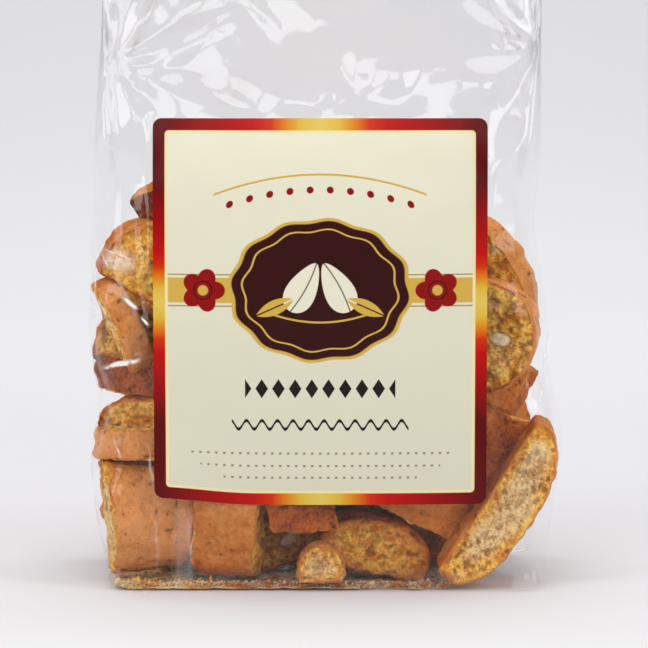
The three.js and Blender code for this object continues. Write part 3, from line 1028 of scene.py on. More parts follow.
FRONT_BISCOTTI = (
    # Left column, from the bottom up.
    Resting((-59, -14.5, 21), Side.DOME, 88, 15, 0, (35, 22, 25), 0.15, 0.01, slant=0.0),
    Resting((-31, -19, 31.5), Side.DOME, 88, -4, 0, (58, 22, 20), 0.5, 0.015, slant=0.05),
    Resting((-53, -14, 43.5), Side.DOME, 6, -8, 0, (34, 18, 9), 0.15, 0.05),
    Resting((-54, -10, 53), Side.CUT, 4, -8, 0, (34, 11, 16), 0.55, 0.05, almonds=0),
    Resting((-55, -10, 62), Side.BASE, -6, -12, 0, (34, 20, 12), 0.65, 0.05),
    Resting((-60, -7, 73.5), Side.CUT, -20, -10, 0, (22, 17, 12), 0.5, 0.05, almonds=0),
    Resting((-61, -19, 82), Side.DOME, -63, 20, 0, (30, 13, 8), 0.2, 0.02, slant=0.0),
    Resting((-42.5, -15, 98), Side.CUT, -25, -4, 0, (50, 25, 16), 0.5, 0.02, almonds=1),
    Resting((-43, -10, 119.5), Side.DOME, 40, 4, 0, (36, 18, 13), 1.15, 0.06),
    # Along the bottom.
    Resting((-9.5, -17, 26.5), Side.BASE, 0, 0, 0, (21, 18, 14), 0.45, 0.03),
    Resting((-10, 1, 12), Side.CUT, 4, 0, 0, (38, 18, 15), 0.65, 0.08, nuts=((-4, -1, 20),)),
    Resting((-1.5, -25.5, 7), Side.CUT, 6, 0, -2, (15, 12, 9), 0.3, 0.02, almonds=0),
    # Its bake of 0.8 browns it partly as painted shade, for the shadow under the label.
    Resting((15, -7, 12), Side.CUT, -14, 0, 0, (37, 18, 15), 0.8, 0.05, almonds=0),
    Resting((27, -17, 35), Side.DOME, -28, 0, 0, (56, 22, 20), 0.55, 0.03),
    # Right column, from the bottom up.
    Resting((61, -15, 26), Side.CUT, 231, 4, 0, (56, 17, 14), 0.1, 0.01, almonds=0),
    Resting((37, -8, 47), Side.BASE, -25, 8, 0, (50, 21, 22), 0.4, 0.04),
    Resting((49, -12, 61), Side.DOME, -28, 10, 0, (31, 20, 16), 0.6, 0.05),
    Resting(
        (64, -16.5, 79), Side.CUT, -70, -18, 0, (34, 24, 12), 0.26, 0.01, almonds=0, nuts=((2.5, 0, 62),)
    ),
    Resting((50.5, -5, 95.5), Side.CUT, -57, -22, 0, (46, 21, 15), 0.2, 0.02),
)

COVERED_BISCOTTI = (
    Resting((6, -16, 56), Side.CUT, 12, 0, 0, (58, 22, 18), 0.5, 0.6),
    Resting((-10, -16, 78), Side.DOME, -18, 0, 0, (60, 22, 19), 0.5, 0.6),
    Resting((20, -16, 88), Side.CUT, 30, 0, 0, (58, 22, 18), 0.5, 0.6),
    Resting((4, -14, 108), Side.BASE, -8, 0, 0, (60, 22, 18), 0.5, 0.6),
    Resting((-38, 3, 8), Side.CUT, 0, 4, 90, (52, 22, 11), 0.9, 0.5),
    Resting((17, 5, 8), Side.CUT, 0, -8, 90, (52, 22, 11), 0.9, 0.5),
)


# ---- Crumbs


@dataclass
class Crumbs:
    """Loose crumbs on the bottom of the bag: a thin bed of fine ones, and larger ones on it."""

    space: BagSpace
    seed: int = 5
    floor: float = 0.5 * MM
    wall_gap: float = 0.5 * MM
    bed_corner: tuple[float, float] = (-65 * MM, -29.5 * MM)
    bed_size: tuple[float, float] = (106 * MM, 44 * MM)
    bed_cells: tuple[int, int] = (210, 84)
    bed_height: float = 0.7 * MM
    bed_thickness: float = 0.25 * MM
    count: int = 5400  # larger crumbs
    radii: tuple[float, float] = (0.14 * MM, 0.42 * MM)
    large: float = 2.4  # times the size of the others
    large_share: float = 0.03
    left_end: float = -64 * MM
    run: float = 102 * MM  # they thin out over this length to the right
    half_depth: float = 26 * MM
    front_edge: float = -28.5 * MM
    front_depth: float = 10 * MM
    in_front: float = 0.6  # share that has slid to the front edge
    front_height: float = 1.8 * MM  # of the little heap there

    def build(self, material: bpy.types.Material) -> None:
        """Models the bed and the larger crumbs.

        Args:
            material: The dough's material.
        """
        grain = Grain(self.seed)
        for obj in (self._bed(grain), self._loose(grain)):
            rest = self.space.keep_in(points_of(obj), self.wall_gap)
            set_points(obj, rest)
            paint(obj, "rest", rest)
            paint(obj, "crumb", np.ones(len(rest)))
            # Painted shade: the crumbs from x -52 mm rightwards are painted browner, for the shadow
            # under the biscotti there.
            shade_on_right = smooth(rest[:, 0], -52 * MM, -22 * MM)
            paint(obj, "toast", 0.2 + 0.9 * shade_on_right + 0.4 * grain.at(rest, 5 * MM))
            paint(obj, "almond", np.clip(0.35 + grain.at(rest + 1.0, 3 * MM), 0.0, 0.6))
            shade(obj, material)
            register(obj, "bag")

    def _bed(self, grain: Grain) -> bpy.types.Object:
        """The finest crumbs, as a thin lumpy layer with ragged holes in it."""
        across, back = self.bed_cells
        bpy.ops.mesh.primitive_grid_add(x_subdivisions=across, y_subdivisions=back, size=1.0)
        obj = bpy.context.object
        obj.name = "crumb_bed"
        points = (points_of(obj) + [0.5, 0.5, 0.0]) * [*self.bed_size, 0.0]
        points += [*self.bed_corner, self.floor]
        lumps = 0.6 * grain.at(points, 1.2 * MM) + 0.4 * grain.at(points + 0.4, 3 * MM)
        patches = grain.rough(points + 0.7, 9 * MM)
        worn = smooth(points[:, 0], 10 * MM, 42 * MM) + smooth(points[:, 1], -12 * MM, 14 * MM) * 0.6
        full = 0.55 + 0.5 * lumps + 0.7 * patches - worn
        points[:, 2] += self.bed_height * np.clip(full, 0.05, 1.4)
        set_points(obj, points)
        with editing(obj):
            bpy.ops.mesh.select_mode(type="VERT")
            bpy.ops.mesh.select_all(action="DESELECT")
        obj.data.vertices.foreach_set("select", full < 0.12)
        with editing(obj):
            bpy.ops.mesh.delete(type="VERT")
        modify(obj, "SOLIDIFY", thickness=self.bed_thickness, offset=-1.0)
        return obj

    def _loose(self, grain: Grain) -> bpy.types.Object:
        """One crumb, copied with a size, a stretch and a shape of its own each time."""
        rng = np.random.default_rng(self.seed)
        bpy.ops.mesh.primitive_ico_sphere_add(subdivisions=1, radius=1.0)
        obj = bpy.context.object
        obj.name = "crumbs"
        shape = points_of(obj)
        faces = faces_of(obj, 3)
        points, polygons = [], []
        for number in range(self.count):
            size = rng.uniform(*self.radii)
            size *= 1.0 if rng.random() < 1.0 - self.large_share else self.large
            lumps = 1.0 + 0.55 * grain.at(shape + 5.0 * number, 0.8)
            one = shape * lumps[:, None] * size * rng.uniform(0.5, 1.2, 3)
            x = self.left_end + self.run * rng.random() ** 1.9
            y = self.half_depth * rng.uniform(-1.0, 1.0)
            up = 0.0
            if rng.random() < self.in_front:
                back = rng.random() ** 2
                y = self.front_edge + self.front_depth * back
                up = self.front_height * rng.random() ** 2 * (1.0 - back)
            one += [x, y, self.floor + up - one[:, 2].min()]
            polygons.append(faces + number * len(shape))
            points.append(one)
        mesh = bpy.data.meshes.new("crumbs")
        mesh.from_pydata(np.vstack(points).tolist(), [], np.vstack(polygons).tolist())
        obj.data = mesh
        return obj


# ---- The film


@dataclass(frozen=True)
class Crease:
    """A sharp fold in the film on one panel, with its ends as x and z in millimetres."""

    start: tuple[float, float]
    end: tuple[float, float]
    rise: float  # height of the ridge in millimetres, below zero for a valley
    width: float = 1.4
    milk_and_glint: float = 0.1  # how white the film is painted along it, as a painted glint
    front: bool = True


@dataclass(frozen=True)
class Pinch:
    """A point where the film is gathered, with folds that fan out from it."""

    at: tuple[float, float]  # x and z in millimetres
    folds: int
    reach: float
    rise: float
    phase: float
    front: bool = True


@dataclass(frozen=True)
class FilmFinish:
    """Clear glossy film: it shows what is behind it, mirrors the lamps, is faintly milky and has glints
    painted white along its creases.
    """

    tint: Colour = (0.99, 0.99, 0.99, 1.0)
    milk_and_glint: Colour = srgb(250, 246, 243)
    shine: Colour = (1.0, 1.0, 1.0, 1.0)
    gloss_roughness: float = 0.08
    ior: float = 1.42
    mirror: float = 1.3  # two faces to each wall
    most_mirror: float = 0.3  # where it is seen edge on
    veil: float = 0.004  # milkiness of a single wall
    most_milk: float = 0.9
    waver: float = 1.4  # how far the creases stray from straight, in millimetres
    creases: Sequence[Crease] = field(default_factory=lambda: FILM_CREASES)

    def material(self) -> bpy.types.Material:
        """Builds the material, which reads the haze and the gleam painted on the film."""
        sh = Shader("clear_film")
        place = sh.place()
        relief = sh.bump(sh.noise(place, 14 * MM, 1.0), 0.6 * MM)
        relief = sh.bump(sh.noise(place, 4 * MM, 2.0), 0.06 * MM, relief)
        clear = sh.sock("ShaderNodeBsdfTransparent", None, {"Color": self.tint})
        milky = sh.solid({"Base Color": self.milk_and_glint, "Roughness": 0.5, "Normal": relief})
        # The painted haze, with the creases' painted glints on top.
        haze = sh.painted("haze") + self._painted_glints(sh, place)
        share = (self.veil + haze).least(self.most_milk)
        wall = sh.sock("ShaderNodeMixShader", None, {0: share, 1: clear, 2: milky})
        mirror = {"Color": self.shine, "Roughness": self.gloss_roughness, "Normal": relief}
        gloss = sh.sock("ShaderNodeBsdfGlossy", None, mirror)
        fresnel = sh.sock("ShaderNodeFresnel", None, {"IOR": self.ior, "Normal": relief})
        shine = (fresnel * self.mirror).least(self.most_mirror) * sh.painted("gleam")
        return sh.finish(sh.sock("ShaderNodeMixShader", None, {0: shine, 1: wall, 2: gloss}))

    def _painted_glints(self, sh: Shader, place: Sock) -> Sock:
        """Painted glints: how white the front panel is painted along its creases, for the lamps'
        reflections in them.
        """
        x, y, z = sh.axes(place)
        stray = (sh.noise(place, 5 * MM, 1.0) - 0.5) * self.waver
        x, z = x / MM + stray, z / MM - stray
        total = stray * 0.0
        for crease in self.creases:
            (start_x, start_z), (end_x, end_z) = crease.start, crease.end
            long = math.hypot(end_x - start_x, end_z - start_z)
            way_x, way_z = (end_x - start_x) / long, (end_z - start_z) / long
            off_x, off_z = x - start_x, z - start_z
            along = off_x * way_x + off_z * way_z
            across = abs(off_z * way_x - off_x * way_z)
            line = across.step(crease.width * 0.6, 0.0)
            line = line * along.step(0.0, long * 0.5) * along.step(long, long * 0.6)
            total = total.most(line * crease.milk_and_glint)
        broken = sh.noise(place, 2.4 * MM, 2.0).step(0.22, 0.52)
        return total * broken * y.step(-4 * MM, -8 * MM)


@dataclass
class Film:
    """The bag's film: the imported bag's wall, drawn over the biscotti, crinkled and sealed."""

    solid: bpy.types.Object
    fill_top: float = 121 * MM
    slack: float = 2.4 * MM  # how far it sinks in between biscuits
    cover: float = 0.35 * MM  # kept between a biscuit and the film
    rounds: int = 70
    pull: float = 0.04  # how firmly the film keeps to its own wall, against its tension
    most_in: float = 6 * MM
    most_out: float = 4 * MM
    seal_from: float = 213 * MM
    rib_pitch: float = 1.3 * MM
    rib_height: float = 0.16 * MM
    seal_haze: float = 0.14
    base_haze: float = 0.03
    head_haze: float = 0.08  # in the middle of the headspace
    doubled_at: float = -43 * MM  # x of the two upright folds at the lower left
    doubled_top: float = 30 * MM
    doubled_haze: float = 0.1
    base_gleam: float = 0.4  # the base lies on its shelf, so it mirrors less than a wall
    wave_lengths: Sequence[int] = (62, 44, 33, 25, 19)  # of the crumpled headspace, in millimetres
    facets: int = 26
    creases: Sequence[Crease] = field(default_factory=lambda: FILM_CREASES)
    pinches: Sequence[Pinch] = field(default_factory=lambda: FILM_PINCHES)

    def build(self, biscotti: list[bpy.types.Object], finish: FilmFinish) -> bpy.types.Object:
        """Models the film.

        Args:
            biscotti: What it is drawn over.
            finish: Its look.

        Returns:
            The film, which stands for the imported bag.
        """
        obj = self._skin()
        self._drape(obj, biscotti)
        self._crinkle(obj)
        shade(obj, finish.material())
        register(obj, "bag")
        return obj

    def _skin(self) -> bpy.types.Object:
        """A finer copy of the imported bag's wall."""
        obj = add_object("film", self.solid.data.copy())
        with editing(obj):
            bpy.ops.mesh.select_all(action="SELECT")
            bpy.ops.mesh.remove_doubles(threshold=0.01 * MM)
            bpy.ops.mesh.tris_convert_to_quads(
                face_threshold=math.radians(60), shape_threshold=math.radians(80)
            )
        modify(obj, "SUBSURF", levels=2, render_levels=2)
        return obj

    def _drape(self, obj: bpy.types.Object, biscotti: list[bpy.types.Object]) -> None:
        """Lets the film sink between the biscuits under its own tension."""
        points, normals = points_of(obj), normals_of(obj)
        least = self._least_heights(points, normals, biscotti)
        off_label = self._off_label(points, 0.5 * MM, 6 * MM)
        z = points[:, 2]
        free = off_label * smooth(z, 1 * MM, 9 * MM)
        free = free * smooth(z, self.fill_top + 14 * MM, self.fill_top)
        goal = -self.slack * free
        ends = np.empty(len(obj.data.edges) * 2, int)
        obj.data.edges.foreach_get("vertices", ends)
        one, two = ends.reshape(-1, 2).T
        count = len(points)
        degree = np.bincount(ends, minlength=count)
        height = np.maximum(goal, least) * free
        for _ in range(self.rounds):
            around = np.bincount(one, height[two], count) + np.bincount(two, height[one], count)
            height = around / degree * (1.0 - self.pull) + goal * self.pull
            height = np.clip(np.maximum(height, least), -self.most_in, self.most_out)
            height = height * np.minimum(1.0, free * 4)
        set_points(obj, points + normals * height[:, None])

    def _least_heights(
        self, points: np.ndarray, normals: np.ndarray, biscotti: list[bpy.types.Object]
    ) -> np.ndarray:
        """How far off its own wall the film has to stay at each point, to clear the biscuits.

        Args:
            points: The wall's points.
            normals: Their normals.
            biscotti: What the film has to clear.

        Returns:
            Heights along the normals, far below zero where nothing is behind the wall.
        """
        tree = self._obstacle(biscotti)
        start, reach, past_fill = 9 * MM, 30 * MM, 12 * MM
        least = np.full(len(points), -1.0)
        for number, (point, normal) in enumerate(zip(points, normals)):
            if point[2] > self.fill_top + past_fill:
                continue
            out = Vector(normal)
            _, _, _, away = tree.ray_cast(Vector(point) + out * start, -out, reach)
            if away is not None:
                least[number] = start - away + self.cover
        return least

    @staticmethod
    def _obstacle(biscotti: list[bpy.types.Object]) -> BVHTree:
        """One search tree over all the biscuits."""
        points, faces, first = [], [], 0
        for piece in biscotti:
            points.append(points_of(piece))
            faces.append(faces_of(piece, 4) + first)
            first += len(piece.data.vertices)
        return BVHTree.FromPolygons(np.vstack(points).tolist(), np.vstack(faces).tolist())

    @staticmethod
    def _off_label(points: np.ndarray, near: float, far: float) -> np.ndarray:
        """0 under the label and 1 away from it.

        Args:
            points: One row each.
            near: How far outside the label's outline the share starts to grow.
            far: How far outside it the share is 1.

        Returns:
            One number for each point.
        """
        low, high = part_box("label")
        x, y, z = points.T
        beside = np.maximum(
            np.abs(x - (low.x + high.x) / 2) - (high.x - low.x) / 2,
            np.abs(z - (low.z + high.z) / 2) - (high.z - low.z) / 2,
        )
        return np.where(y < 0, smooth(beside, near, far), 1.0)

    def _crinkle(self, obj: bpy.types.Object) -> None:
        """Adds the headspace's folds, the sharp creases and the seal's ribs, and paints the haze."""
        points, normals = points_of(obj), normals_of(obj)
        z = points[:, 2]
        clear = self._off_label(points, 0.3 * MM, 3.0 * MM)
        flatness = smooth(np.abs(normals[:, 1]), 0.55, 0.9)
        upper = smooth(z, self.fill_top - 6 * MM, self.fill_top + 22 * MM)
        upper *= smooth(z, self.seal_from - 1 * MM, self.seal_from - 9 * MM)
        lift = upper * flatness * (self._sharp_folds(points) + self._crumple(points)) * clear
        for pinch in self.pinches:
            lift += self._fan(points, pinch) * flatness * clear
        for crease in self.creases:
            lift += self._line(points, crease) * clear * crease.rise * MM
        lift += Grain(17).rough(points, 9 * MM) * 0.16 * MM * clear * smooth(z, 2 * MM, 8 * MM)
        seal = smooth(z, self.seal_from - 0.5 * MM, self.seal_from + 0.8 * MM)
        ribs = np.sin(z / self.rib_pitch * 2 * math.pi) * self.rib_height
        lift = lift * (1.0 - seal) + ribs * seal
        set_points(obj, points + normals * lift[:, None])
        self._paint_looks(obj, points, normals, seal)

    def _paint_looks(
        self, obj: bpy.types.Object, points: np.ndarray, normals: np.ndarray, seal: np.ndarray
    ) -> None:
        """Stores how milky and how glossy the film is.

        Args:
            obj: The film.
            points: Its points before it was crinkled.
            normals: Their normals.
            seal: How far each point belongs to the seal.
        """
        x, y, z = points.T
        haze = seal * self.seal_haze + smooth(z, 7.5 * MM, 5.5 * MM) * self.base_haze
        haze += self._doubled(points)
        middle = np.exp(-((x / (40 * MM)) ** 2)) * (1.0 - seal)
        haze += self.head_haze * smooth(z, 140 * MM, 165 * MM) * middle
        paint(obj, "haze", np.clip(haze, 0.0, 0.5))
        gleam = 0.3 + 0.7 * smooth(y, -2 * MM, -12 * MM)
        gleam *= 0.62 + 0.48 * smooth(z, self.fill_top - 8 * MM, self.fill_top + 8 * MM)
        paint(obj, "gleam", np.where(normals[:, 2] < -0.7, self.base_gleam, gleam))

    def _doubled(self, points: np.ndarray) -> np.ndarray:
        """Milkiness of the doubled film between the two upright folds at the lower left."""
        x, y, z = points.T
        across = smooth(np.abs(x - self.doubled_at), 3.4 * MM, 2.2 * MM)
        up = smooth(z, self.doubled_top, self.doubled_top - 8 * MM)
        return np.where(y < 0, across * up * self.doubled_haze, 0.0)

    def _crumple(self, points: np.ndarray) -> np.ndarray:
        """Flat facets with sharp edges between them, from crossed waves of straight slopes."""
        rng = np.random.default_rng(12)
        x, y, z = points.T
        warp = Grain(8).rough(points, 40 * MM) * 9 * MM
        total = np.zeros(len(points))
        for length in self.wave_lengths:
            turn = rng.uniform(0.0, math.pi)
            along = x * math.cos(turn) + z * math.sin(turn) + warp + np.sign(y) * 20 * MM
            wave = zigzag(along / (length * MM) + rng.random())
            patch = smooth(Grain(length).at(points, 1.3 * length * MM), -0.25, 0.45)
            total += wave * patch * length * 0.015 * MM
        return total

    def _sharp_folds(self, points: np.ndarray) -> np.ndarray:
        """Random straight folds, each over a patch of its own."""
        rng = np.random.default_rng(41)
        x, y, z = points.T
        total = np.zeros(len(points))
        for _ in range(self.facets):
            front = rng.random() < 0.5
            cx, cz = rng.uniform(-62, 62) * MM, rng.uniform(128, 208) * MM
            turn = rng.uniform(-0.9, 0.9) + (math.pi / 2 if rng.random() < 0.3 else 0.0)
            rise = rng.uniform(0.25, 0.7) * MM * rng.choice([-1, 1])
            reach = rng.uniform(14, 34) * MM
            along = (x - cx) * math.cos(turn) + (z - cz) * math.sin(turn)
            across = (z - cz) * math.cos(turn) - (x - cx) * math.sin(turn)
            tent = np.clip(1.0 - np.abs(across) / (reach * 0.42), 0.0, 1.0)
            ends = np.clip(1.0 - (along / reach) ** 2, 0.0, 1.0)
            total += np.where((y < -5 * MM) == front, tent * ends * rise, 0.0)
        return total

    @staticmethod
    def _fan(points: np.ndarray, pinch: Pinch) -> np.ndarray:
        """Folds that fan out from a gathered point."""
        x, y, z = points.T
        dx, dz = x - pinch.at[0] * MM, z - pinch.at[1] * MM
        ridge = zigzag(np.arctan2(dz, dx) * pinch.folds / (2 * math.pi) + pinch.phase)
        share = np.hypot(dx, dz) / (pinch.reach * MM)
        swell = np.clip(share * 2.5, 0.0, 1.0) * np.exp(-(share**2) * 1.6)
        side = (y < -5 * MM) == pinch.front
        return np.where(side, ridge * swell * pinch.rise * MM, 0.0)

    @staticmethod
    def _line(points: np.ndarray, crease: Crease) -> np.ndarray:
        """1 on a crease's line, falling to 0 beside it and past its ends."""
        x, y, z = points.T
        start, end = np.array(crease.start) * MM, np.array(crease.end) * MM
        way = end - start
        share = ((x - start[0]) * way[0] + (z - start[1]) * way[1]) / way.dot(way)
        held = np.clip(share, 0.0, 1.0)
        away = np.hypot(x - start[0] - held * way[0], z - start[1] - held * way[1])
        side = (y < 0) == crease.front
        fade = smooth(share, -0.02, 0.15) * smooth(share, 1.02, 0.85)
        return np.where(side, np.clip(1.0 - away / (crease.width * MM), 0.0, 1.0) * fade, 0.0)


FILM_CREASES = (
    Crease((-51.0, 3.0), (-51.4, 29.0), 0.4, 1.2, 0.15),
    Crease((-41.5, 3.0), (-40.8, 28.0), 0.4, 1.2, 0.15),
    Crease((-69.0, 105.0), (-56.0, 101.2), 0.5, 1.2, 0.8),
    Crease((-69.0, 105.0), (-64.4, 97.6), 0.5, 1.1, 0.7),
    Crease((-65.0, 97.4), (-59.0, 104.0), 0.3, 0.9, 0.5),
    Crease((-71.0, 103.0), (-55.0, 99.6), 0.3, 8.0, 0.5),
    Crease((-64.5, 99.5), (-55.5, 83.0), 0.5, 1.6, 0.3),
    Crease((-62.0, 91.2), (-55.6, 86.2), 0.5, 1.7, 1.3),
    Crease((-55.4, 84.6), (-52.6, 81.6), 0.4, 1.2, 1.3),
    Crease((-69.6, 67.3), (-54.4, 72.2), 0.6, 1.8, 1.6),
    Crease((-61.3, 116.0), (-61.2, 107.0), 0.2, 0.9, 0.3),
    Crease((-69.5, 104.0), (-69.7, 80.0), 0.2, 0.9, 0.6),
    Crease((-65.0, 48.2), (-61.5, 40.0), 0.4, 1.0, 0.5),
    Crease((-53.4, 48.0), (-52.0, 31.0), 0.3, 1.0, 0.3),
    Crease((63.6, 53.0), (66.4, 65.0), 0.5, 1.3, 0.55),
    Crease((66.2, 63.0), (69.2, 79.0), 0.4, 1.0, 0.35),
    Crease((-64.0, 150.0), (-24.0, 176.0), 0.8, 2.4, 0.06),
    Crease((-40.0, 196.0), (-12.0, 168.0), 0.7, 2.4, 0.06),
)

FILM_PINCHES = (
    Pinch((-64.0, 160.0), 9, 34.0, 1.1, 0.1),
    Pinch((65.0, 165.0), 7, 30.0, 0.9, 0.35),
    Pinch((10.0, 150.0), 5, 30.0, 0.6, 0.2),
    Pinch((-60.0, 166.0), 8, 34.0, 1.0, 0.4, False),
    Pinch((62.0, 158.0), 8, 30.0, 1.0, 0.1, False),
)


# ---- The label


def within(value: Sock, inner: float, outer: float) -> Sock:
    """1 where a value is nearer to 0 than inner, falling to 0 at outer."""
    return abs(value).step(outer, inner)


@dataclass(frozen=True)
class PaperFinish:
    """The label's print: a border that runs from gold to dark red, and simple ornaments on cream, which
    painted shade darkens towards the bottom.

    Its lengths are in millimetres, with u across and v up from the label's middle.
    """

    half_width: float
    half_height: float
    centre: tuple[float, float]
    cream: Colour = srgb(227, 223, 199)
    # The lower cream is painted shade, as light falls from above.
    cream_in_shade: Colour = srgb(211, 208, 186)
    keyline: Colour = srgb(232, 218, 166)
    gold: Colour = srgb(206, 168, 74)
    gold_fine: Colour = srgb(168, 138, 70)
    dark: Colour = srgb(52, 14, 14)
    red: Colour = srgb(140, 12, 12)
    ink: Colour = srgb(30, 24, 22)
    brown: Colour = srgb(128, 96, 70)
    back: Colour = srgb(226, 224, 216)
    border_colours: Sequence[tuple[float, Colour]] = (
        (0.0, srgb(220, 192, 92)),
        (0.09, srgb(216, 178, 62)),
        (0.17, srgb(214, 122, 16)),
        (0.24, srgb(202, 46, 6)),
        (0.33, srgb(184, 6, 4)),
        (0.55, srgb(150, 1, 4)),
        (0.80, srgb(88, 1, 5)),
        (1.0, srgb(70, 1, 6)),
    )
    border: float = 3.6
    corner: float = 1.2  # of the field inside the border
    band_at: float = 7.0  # v of the gold band and of the medallion on it
    blossom_at: float = 35.0
    medallion: tuple[float, float] = (25.5, 20.0)  # half its width and height
    almond: tuple[float, float] = (4.4, 8.2)
    leaf: tuple[float, float] = (2.3, 6.5)
    swag_at: float = 41.5
    beads_at: float = 37.0
    bead_pitch: float = 6.0
    lozenges_at: float = -22.5
    lozenge_pitch: float = 5.0
    wave_at: float = -33.5
    dotted: Sequence[tuple[float, float]] = ((-42.2, 40.0), (-46.0, 36.0), (-49.6, 29.0))
    dot_pitch: float = 2.4

    def material(self) -> bpy.types.Material:
        """Builds the material, which reads the unrolled places painted on the label."""
        sh = Shader("printed_paper")
        place = sh.painted("flat", "Vector")
        grown = {0: place, "Scale": 1.0 / MM}
        u, _, v = sh.axes(sh.sock("ShaderNodeVectorMath", {"operation": "SCALE"}, grown))
        u, v = u - self.centre[0], v - self.centre[1]
        # Painted shade: the cream darkens towards the bottom.
        colour = sh.blend((v / self.half_height).step(-1.0, 1.0), self.cream_in_shade, self.cream)
        for layer in (self._band, self._medallion, self._rows, self._border):
            colour = layer(sh, colour, u, v)
        colour = sh.blend(sh.painted("printed").step(0.4, 0.6), self.back, colour)
        waves = sh.noise(place, 22 * MM, 1.0)
        fibre = sh.noise(place, 0.5 * MM, 2.0)
        relief = sh.bump(fibre, 0.02 * MM, sh.bump(waves, 1.3 * MM))
        surface = {"Base Color": colour, "Normal": relief, "Roughness": 0.34, "Specular IOR Level": 0.18}
        return sh.finish(sh.solid(surface))

    def _border(self, sh: Shader, under: Sock, u: Sock, v: Sock) -> Sock:
        """The border, coloured by how far along its side a point lies, and a pale line inside it."""
        across = abs(u) - (self.half_width - self.border - self.corner)
        up = abs(v) - (self.half_height - self.border - self.corner)
        away = (across.most(0.0) ** 2.0 + up.most(0.0) ** 2.0).root()
        outside = away + across.most(up).least(0.0) - self.corner
        colour = sh.blend(outside.step(-1.0, -0.7), under, self.keyline)
        along = (abs(u) / 1.35).least(abs(v - 3.0)) / 45.0
        return sh.blend(outside.step(-0.1, 0.15), colour, sh.ramp(along, self.border_colours))

    def _band(self, sh: Shader, under: Sock, u: Sock, v: Sock) -> Sock:
        """A gold band across the field, with a red blossom on each side."""
        side, up = abs(u) - self.blossom_at, v - self.band_at
        colour = sh.blend(within(up, 3.6, 3.9), under, self.gold)
        colour = sh.blend(within(abs(up) - 4.7, 0.12, 0.28), colour, self.gold_fine)
        away = (side**2.0 + up**2.0).root()
        petals = abs((up.angle_to(side) * 2.5).wave()) * 2.0 + 4.6
        colour = sh.blend((away - petals).step(0.12, -0.12), colour, self.red)
        colour = sh.blend(away.step(1.7, 1.4), colour, self.gold)
        return sh.blend(within(away - 2.7, 0.1, 0.25), colour, self.dark)

    def _medallion(self, sh: Shader, under: Sock, u: Sock, v: Sock) -> Sock:
        """A dark plaque with a scalloped edge, a gold line, two almonds and two leaves."""
        v = v - self.band_at
        across, up = u / self.medallion[0], v / self.medallion[1]
        scallop = (up.angle_to(across) * 12.0).wave() * 0.022
        away = (across**2.0 + up**2.0).root() + scallop
        colour = sh.blend(away.step(1.08, 1.06), under, self.gold)
        colour = sh.blend(away.step(1.035, 1.015), colour, self.dark)
        colour = sh.blend(within(away - 0.9, 0.008, 0.016), colour, self.gold)
        for lean, shift in ((0.5, -5.0), (-0.5, 5.0)):
            colour = sh.blend(self._almond(u - shift, v - 1.0, lean), colour, self.cream)
        for lean, shift in ((1.15, -13.5), (-1.15, 13.5)):
            colour = sh.blend(self._leaf(u - shift, v + 5.0, lean), colour, self.gold)
        stem = within(v + 9.5 - u**2.0 * 0.012, 0.2, 0.4) * within(u, 14.0, 15.0)
        return sh.blend(stem, colour, self.gold)

    @staticmethod
    def _turned(u: Sock, v: Sock, lean: float) -> tuple[Sock, Sock]:
        """Coordinates across and along a motif that leans by an angle."""
        across = u * math.cos(lean) - v * math.sin(lean)
        along = u * math.sin(lean) + v * math.cos(lean)
        return across, along

    def _almond(self, u: Sock, v: Sock, lean: float) -> Sock:
        """An almond with a furrow: round below and pointed above."""
        half_width, half_length = self.almond
        across, along = self._turned(u, v, lean)
        share = along / half_length
        full = 1.0 - share**2.0
        wide = full.most(0.0).root() * (1.0 - share * 0.38) * half_width
        furrow = within(across - full * 0.8, 0.12, 0.32)
        return (wide - abs(across)).step(0.0, 0.25) * (1.0 - furrow * 0.8)

    def _leaf(self, u: Sock, v: Sock, lean: float) -> Sock:
        """A leaf with a vein."""
        half_width, half_length = self.leaf
        across, along = self._turned(u, v, lean)
        wide = (1.0 - (along / half_length) ** 2.0).most(0.0) * half_width
        return (wide - abs(across)).step(0.0, 0.2) * (1.0 - within(across, 0.12, 0.3))

    def _rows(self, sh: Shader, under: Sock, u: Sock, v: Sock) -> Sock:
        """Ornament rows: a swag with beads above, and lozenges, a wave and dotted lines below."""
        sag = u**2.0 * 0.006
        swag = within(v - self.swag_at + sag, 0.2, 0.42) * within(u, 31.5, 32.0)
        colour = sh.blend(swag, under, self.gold)
        beads = (u.repeat(self.bead_pitch) ** 2.0 + (v - self.beads_at + sag) ** 2.0).root()
        colour = sh.blend(beads.step(1.15, 0.95) * within(u, 30.0, 30.2), colour, self.red)
        lozenges = u.repeat(self.lozenge_pitch) / 1.9 + abs(v - self.lozenges_at) / 2.9
        colour = sh.blend(lozenges.step(1.04, 0.96) * within(u, 22.4, 22.6), colour, self.ink)
        ripple = within(v - self.wave_at - (u * 1.35).wave() * 1.3, 0.42, 0.62)
        colour = sh.blend(ripple * within(u, 26.4, 26.6), colour, self.ink)
        dots = u.repeat(self.dot_pitch).step(0.75, 0.9) * 0.85
        for at, reach in self.dotted:
            line = within(v - at, 0.22, 0.42) * within(u, reach, reach + 0.1)
            colour = sh.blend(line * dots, colour, self.brown)
        return colour


